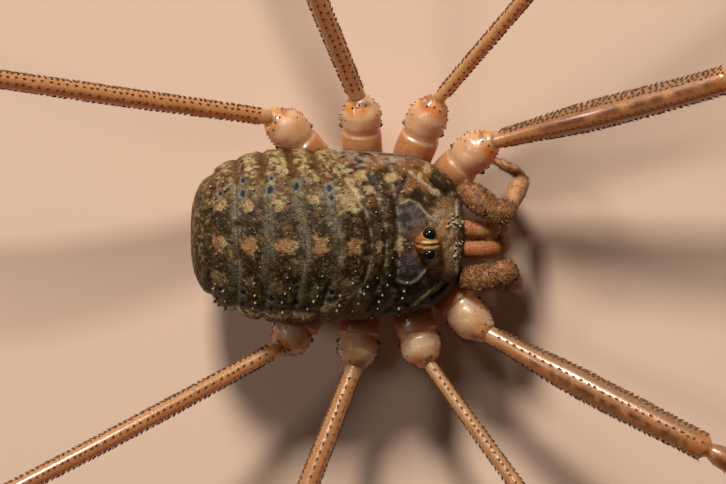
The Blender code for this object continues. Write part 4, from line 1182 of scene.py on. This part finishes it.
# %% Palps
PALPS = {
    "left": (((3.60, 1.32, 2.45, 0.24), (3.96, 1.14, 2.66, 0.33), (4.30, 0.90, 2.80, 0.34), (4.56, 0.76, 2.84, 0.29),
              (4.80, 0.71, 2.86, 0.33), (5.00, 0.80, 2.66, 0.20), (5.14, 1.05, 2.30, 0.25), (5.32, 1.34, 1.86, 0.23),
              (5.36, 1.48, 1.64, 0.13), (5.14, 1.62, 1.40, 0.14), (4.84, 1.76, 1.22, 0.12), (4.56, 1.87, 1.10, 0.07)),
             (4.76, 0.56, 2.86)),
    "right": (((3.60, -1.20, 2.40, 0.24), (4.02, -1.18, 2.62, 0.32), (4.36, -1.13, 2.78, 0.33),
               (4.62, -1.05, 2.84, 0.28), (4.86, -0.99, 2.82, 0.32), (5.04, -1.08, 2.58, 0.20),
               (5.12, -1.34, 2.22, 0.25), (5.08, -1.52, 1.80, 0.23), (5.00, -1.58, 1.58, 0.13),
               (4.90, -1.62, 1.30, 0.14), (4.74, -1.62, 1.02, 0.12), (4.56, -1.58, 0.76, 0.07)),
              (4.93, -0.86, 2.80)),
}
KNOB_RADIUS = 0.21
PALP_BROWN = (0.36, 0.155, 0.054)
PALP_LIGHT = (0.40, 0.210, 0.105)


def limb(stations, gap, columns, end_reach):
    """A tube through points of place and radius, with a ring every gap mm, closed at both ends."""
    line = curve(np.array(stations), 40)
    total = travelled(line)[-1]
    distance = np.unique(np.concatenate([np.arange(0, total, gap), end_reach * np.linspace(0, 1, 6) ** 2,
                                         total - end_reach * np.linspace(0, 1, 6) ** 2]))
    at = respaced(line, distance)
    radius = at[:, 3] * round_ends(distance, total, end_reach, end_reach)
    grid, out = sweep(at[:, :3], radius, columns)
    return grid, out, distance, total


def fur(grids, count, length, width, lean):
    """Spinules at random places of several grids, leaning towards the tips.

    A place is a grid point plus random shares of the steps to the next ring and column.
    """
    roots, aims, maps = [], [], []
    for index, (grid, out, first, last, share) in enumerate(grids):
        rings = rng.integers(first, last, int(count * share))
        columns = rng.integers(0, grid.shape[1], len(rings))
        along = unit(np.gradient(grid.mean(axis=1), axis=0))
        ahead, beside = rng.uniform(0, 1, (2, len(rings), 1))
        place = grid[rings, columns] + ahead * (grid[rings + 1, columns] - grid[rings, columns])
        roots.append(place + beside * (grid[rings, (columns + 1) % grid.shape[1]] - grid[rings, columns]))
        aims.append(unit(out[rings, columns] + lean * along[rings] + rng.normal(0, 0.2, (len(rings), 3))))
        maps.append(np.column_stack([(columns / grid.shape[1] + index) / len(grids), rings / grid.shape[0]]))
    roots, aims, maps = np.vstack(roots), np.vstack(aims), np.vstack(maps)
    size = rng.uniform(0.75, 1.25, len(roots))
    points, faces, height, number = spines(roots, aims, length * size, width * size)
    return points, faces, height, bake_patches(maps, number, height)


def make_palp(side):
    """One palp, its knob and its spinules."""
    stations, knob = PALPS[side]
    grid, out, distance, total = limb(stations, 0.05, 40, 0.12)
    knuckle = travelled(curve(np.array(stations), 40))[200]
    smooth_part = ease(distance, knuckle - 0.05, knuckle + 0.15)[:, None] + 0 * out[..., 0]
    speckle = noise(grid, 0.08, 41)
    rough_tint = blend((0.20, 0.080, 0.026), PALP_BROWN, ease(speckle, 0.25, 0.75))
    smooth_tint = blend(PALP_BROWN, PALP_LIGHT, ease(noise(grid, 0.25, 42), 0.2, 0.6))
    tint = rough_tint + (smooth_tint - rough_tint) * smooth_part[..., None]
    way = ball(30, 32)
    knob_grid = np.array(knob) + way * KNOB_RADIUS
    knob_tint = blend((0.20, 0.080, 0.026), PALP_BROWN, ease(noise(knob_grid, 0.08, 43), 0.25, 0.75))
    parts = [shell(grid) + (with_poles(tint),), shell(knob_grid) + (with_poles(knob_tint),)]
    nodes = ["palp_" + side + "_" + part for part in ("femur", "patella", "tibia", "tarsus")]
    piece("palp_" + side + "_skin", *gather(parts), PALP, "palp", nodes)

    last = int(np.searchsorted(distance, knuckle))
    places = [(grid, out, 3, last, 0.80), (knob_grid, way, 2, 28, 0.20)]
    points, faces, height, patches = fur(places, 2600, 0.068, 0.012, 0.7)
    golden = (noise(points, 0.05, 45) > 0.55)[:, None]
    tips = np.where(golden, (0.42, 0.230, 0.105), (0.085, 0.032, 0.011))
    tints = blend((0.27, 0.110, 0.038), tips, ease(height, 0.0, 0.6))
    piece("palp_" + side + "_spinules", points, faces, tints, SPINE, "palp", patches=patches)
    places = [(grid, out, last, len(distance) - 4, 1.0)]
    points, faces, height, patches = fur(places, 420, 0.09, 0.007, 1.2)
    tints = blend((0.30, 0.14, 0.06), (0.06, 0.03, 0.015), ease(height, 0.0, 0.6))
    piece("palp_" + side + "_hairs", points, faces, tints, SPINE, "palp", patches=patches)


make_palp("left")
make_palp("right")

# %% [markdown]
# A jaw is a thick base and a hand that hangs down from it with two thin fingers.

# %% Jaws
JAW_MIDDLE = -0.12
JAW_OFFSET = 0.28
JAW_BASE = ((3.40, 2.30, 0.22), (3.95, 2.46, 0.25), (4.36, 2.44, 0.26), (4.58, 2.30, 0.22), (4.64, 2.22, 0.15))
JAW_HAND = ((4.58, 2.22, 0.14), (4.62, 2.12, 0.20), (4.76, 1.84, 0.25), (4.72, 1.46, 0.23), (4.60, 1.18, 0.15))
JAW_FINGERS = (((4.66, 1.34, 0.10), (4.70, 1.00, 0.08), (4.58, 0.76, 0.03)),
               ((4.56, 1.34, 0.10), (4.44, 1.02, 0.08), (4.44, 0.78, 0.03)))
JAW_BROWN = (0.35, 0.125, 0.038)
JAW_PINK = (0.38, 0.175, 0.075)


def make_jaw(side, word):
    """One jaw: base, hand and two dark-tipped fingers, with a few hairs."""
    shift = JAW_MIDDLE + side * JAW_OFFSET
    parts, hairy = [], []
    for stations in (JAW_BASE, JAW_HAND, *JAW_FINGERS):
        grid, out, distance, total = limb([(x, shift, z, r) for x, z, r in stations], 0.04, 32, 0.06)
        tint = blend(JAW_BROWN, JAW_PINK, ease(noise(grid, 0.30, 51 + side), 0.35, 0.8))
        if len(stations) == 3:
            tint = laid(tint, NEAR_BLACK, 0.8 * ease(distance / total, 0.3, 0.7)[:, None] + 0 * out[..., 0])
        else:
            hairy.append((grid, out, 3, len(distance) - 3, 0.5))
        parts.append(shell(grid) + (with_poles(tint),))
    nodes = ["chelicera_" + word + "_base", "chelicera_" + word + "_hand"]
    piece("jaw_" + word + "_skin", *gather(parts), PALP, "palp", nodes)
    points, faces, height, patches = fur(hairy, 260, 0.07, 0.008, 0.8)
    tints = blend((0.25, 0.10, 0.04), (0.03, 0.015, 0.01), ease(height, 0.0, 0.6))
    piece("jaw_" + word + "_hairs", points, faces, tints, SPINE, "palp", patches=patches)


make_jaw(1, "left")
make_jaw(-1, "right")
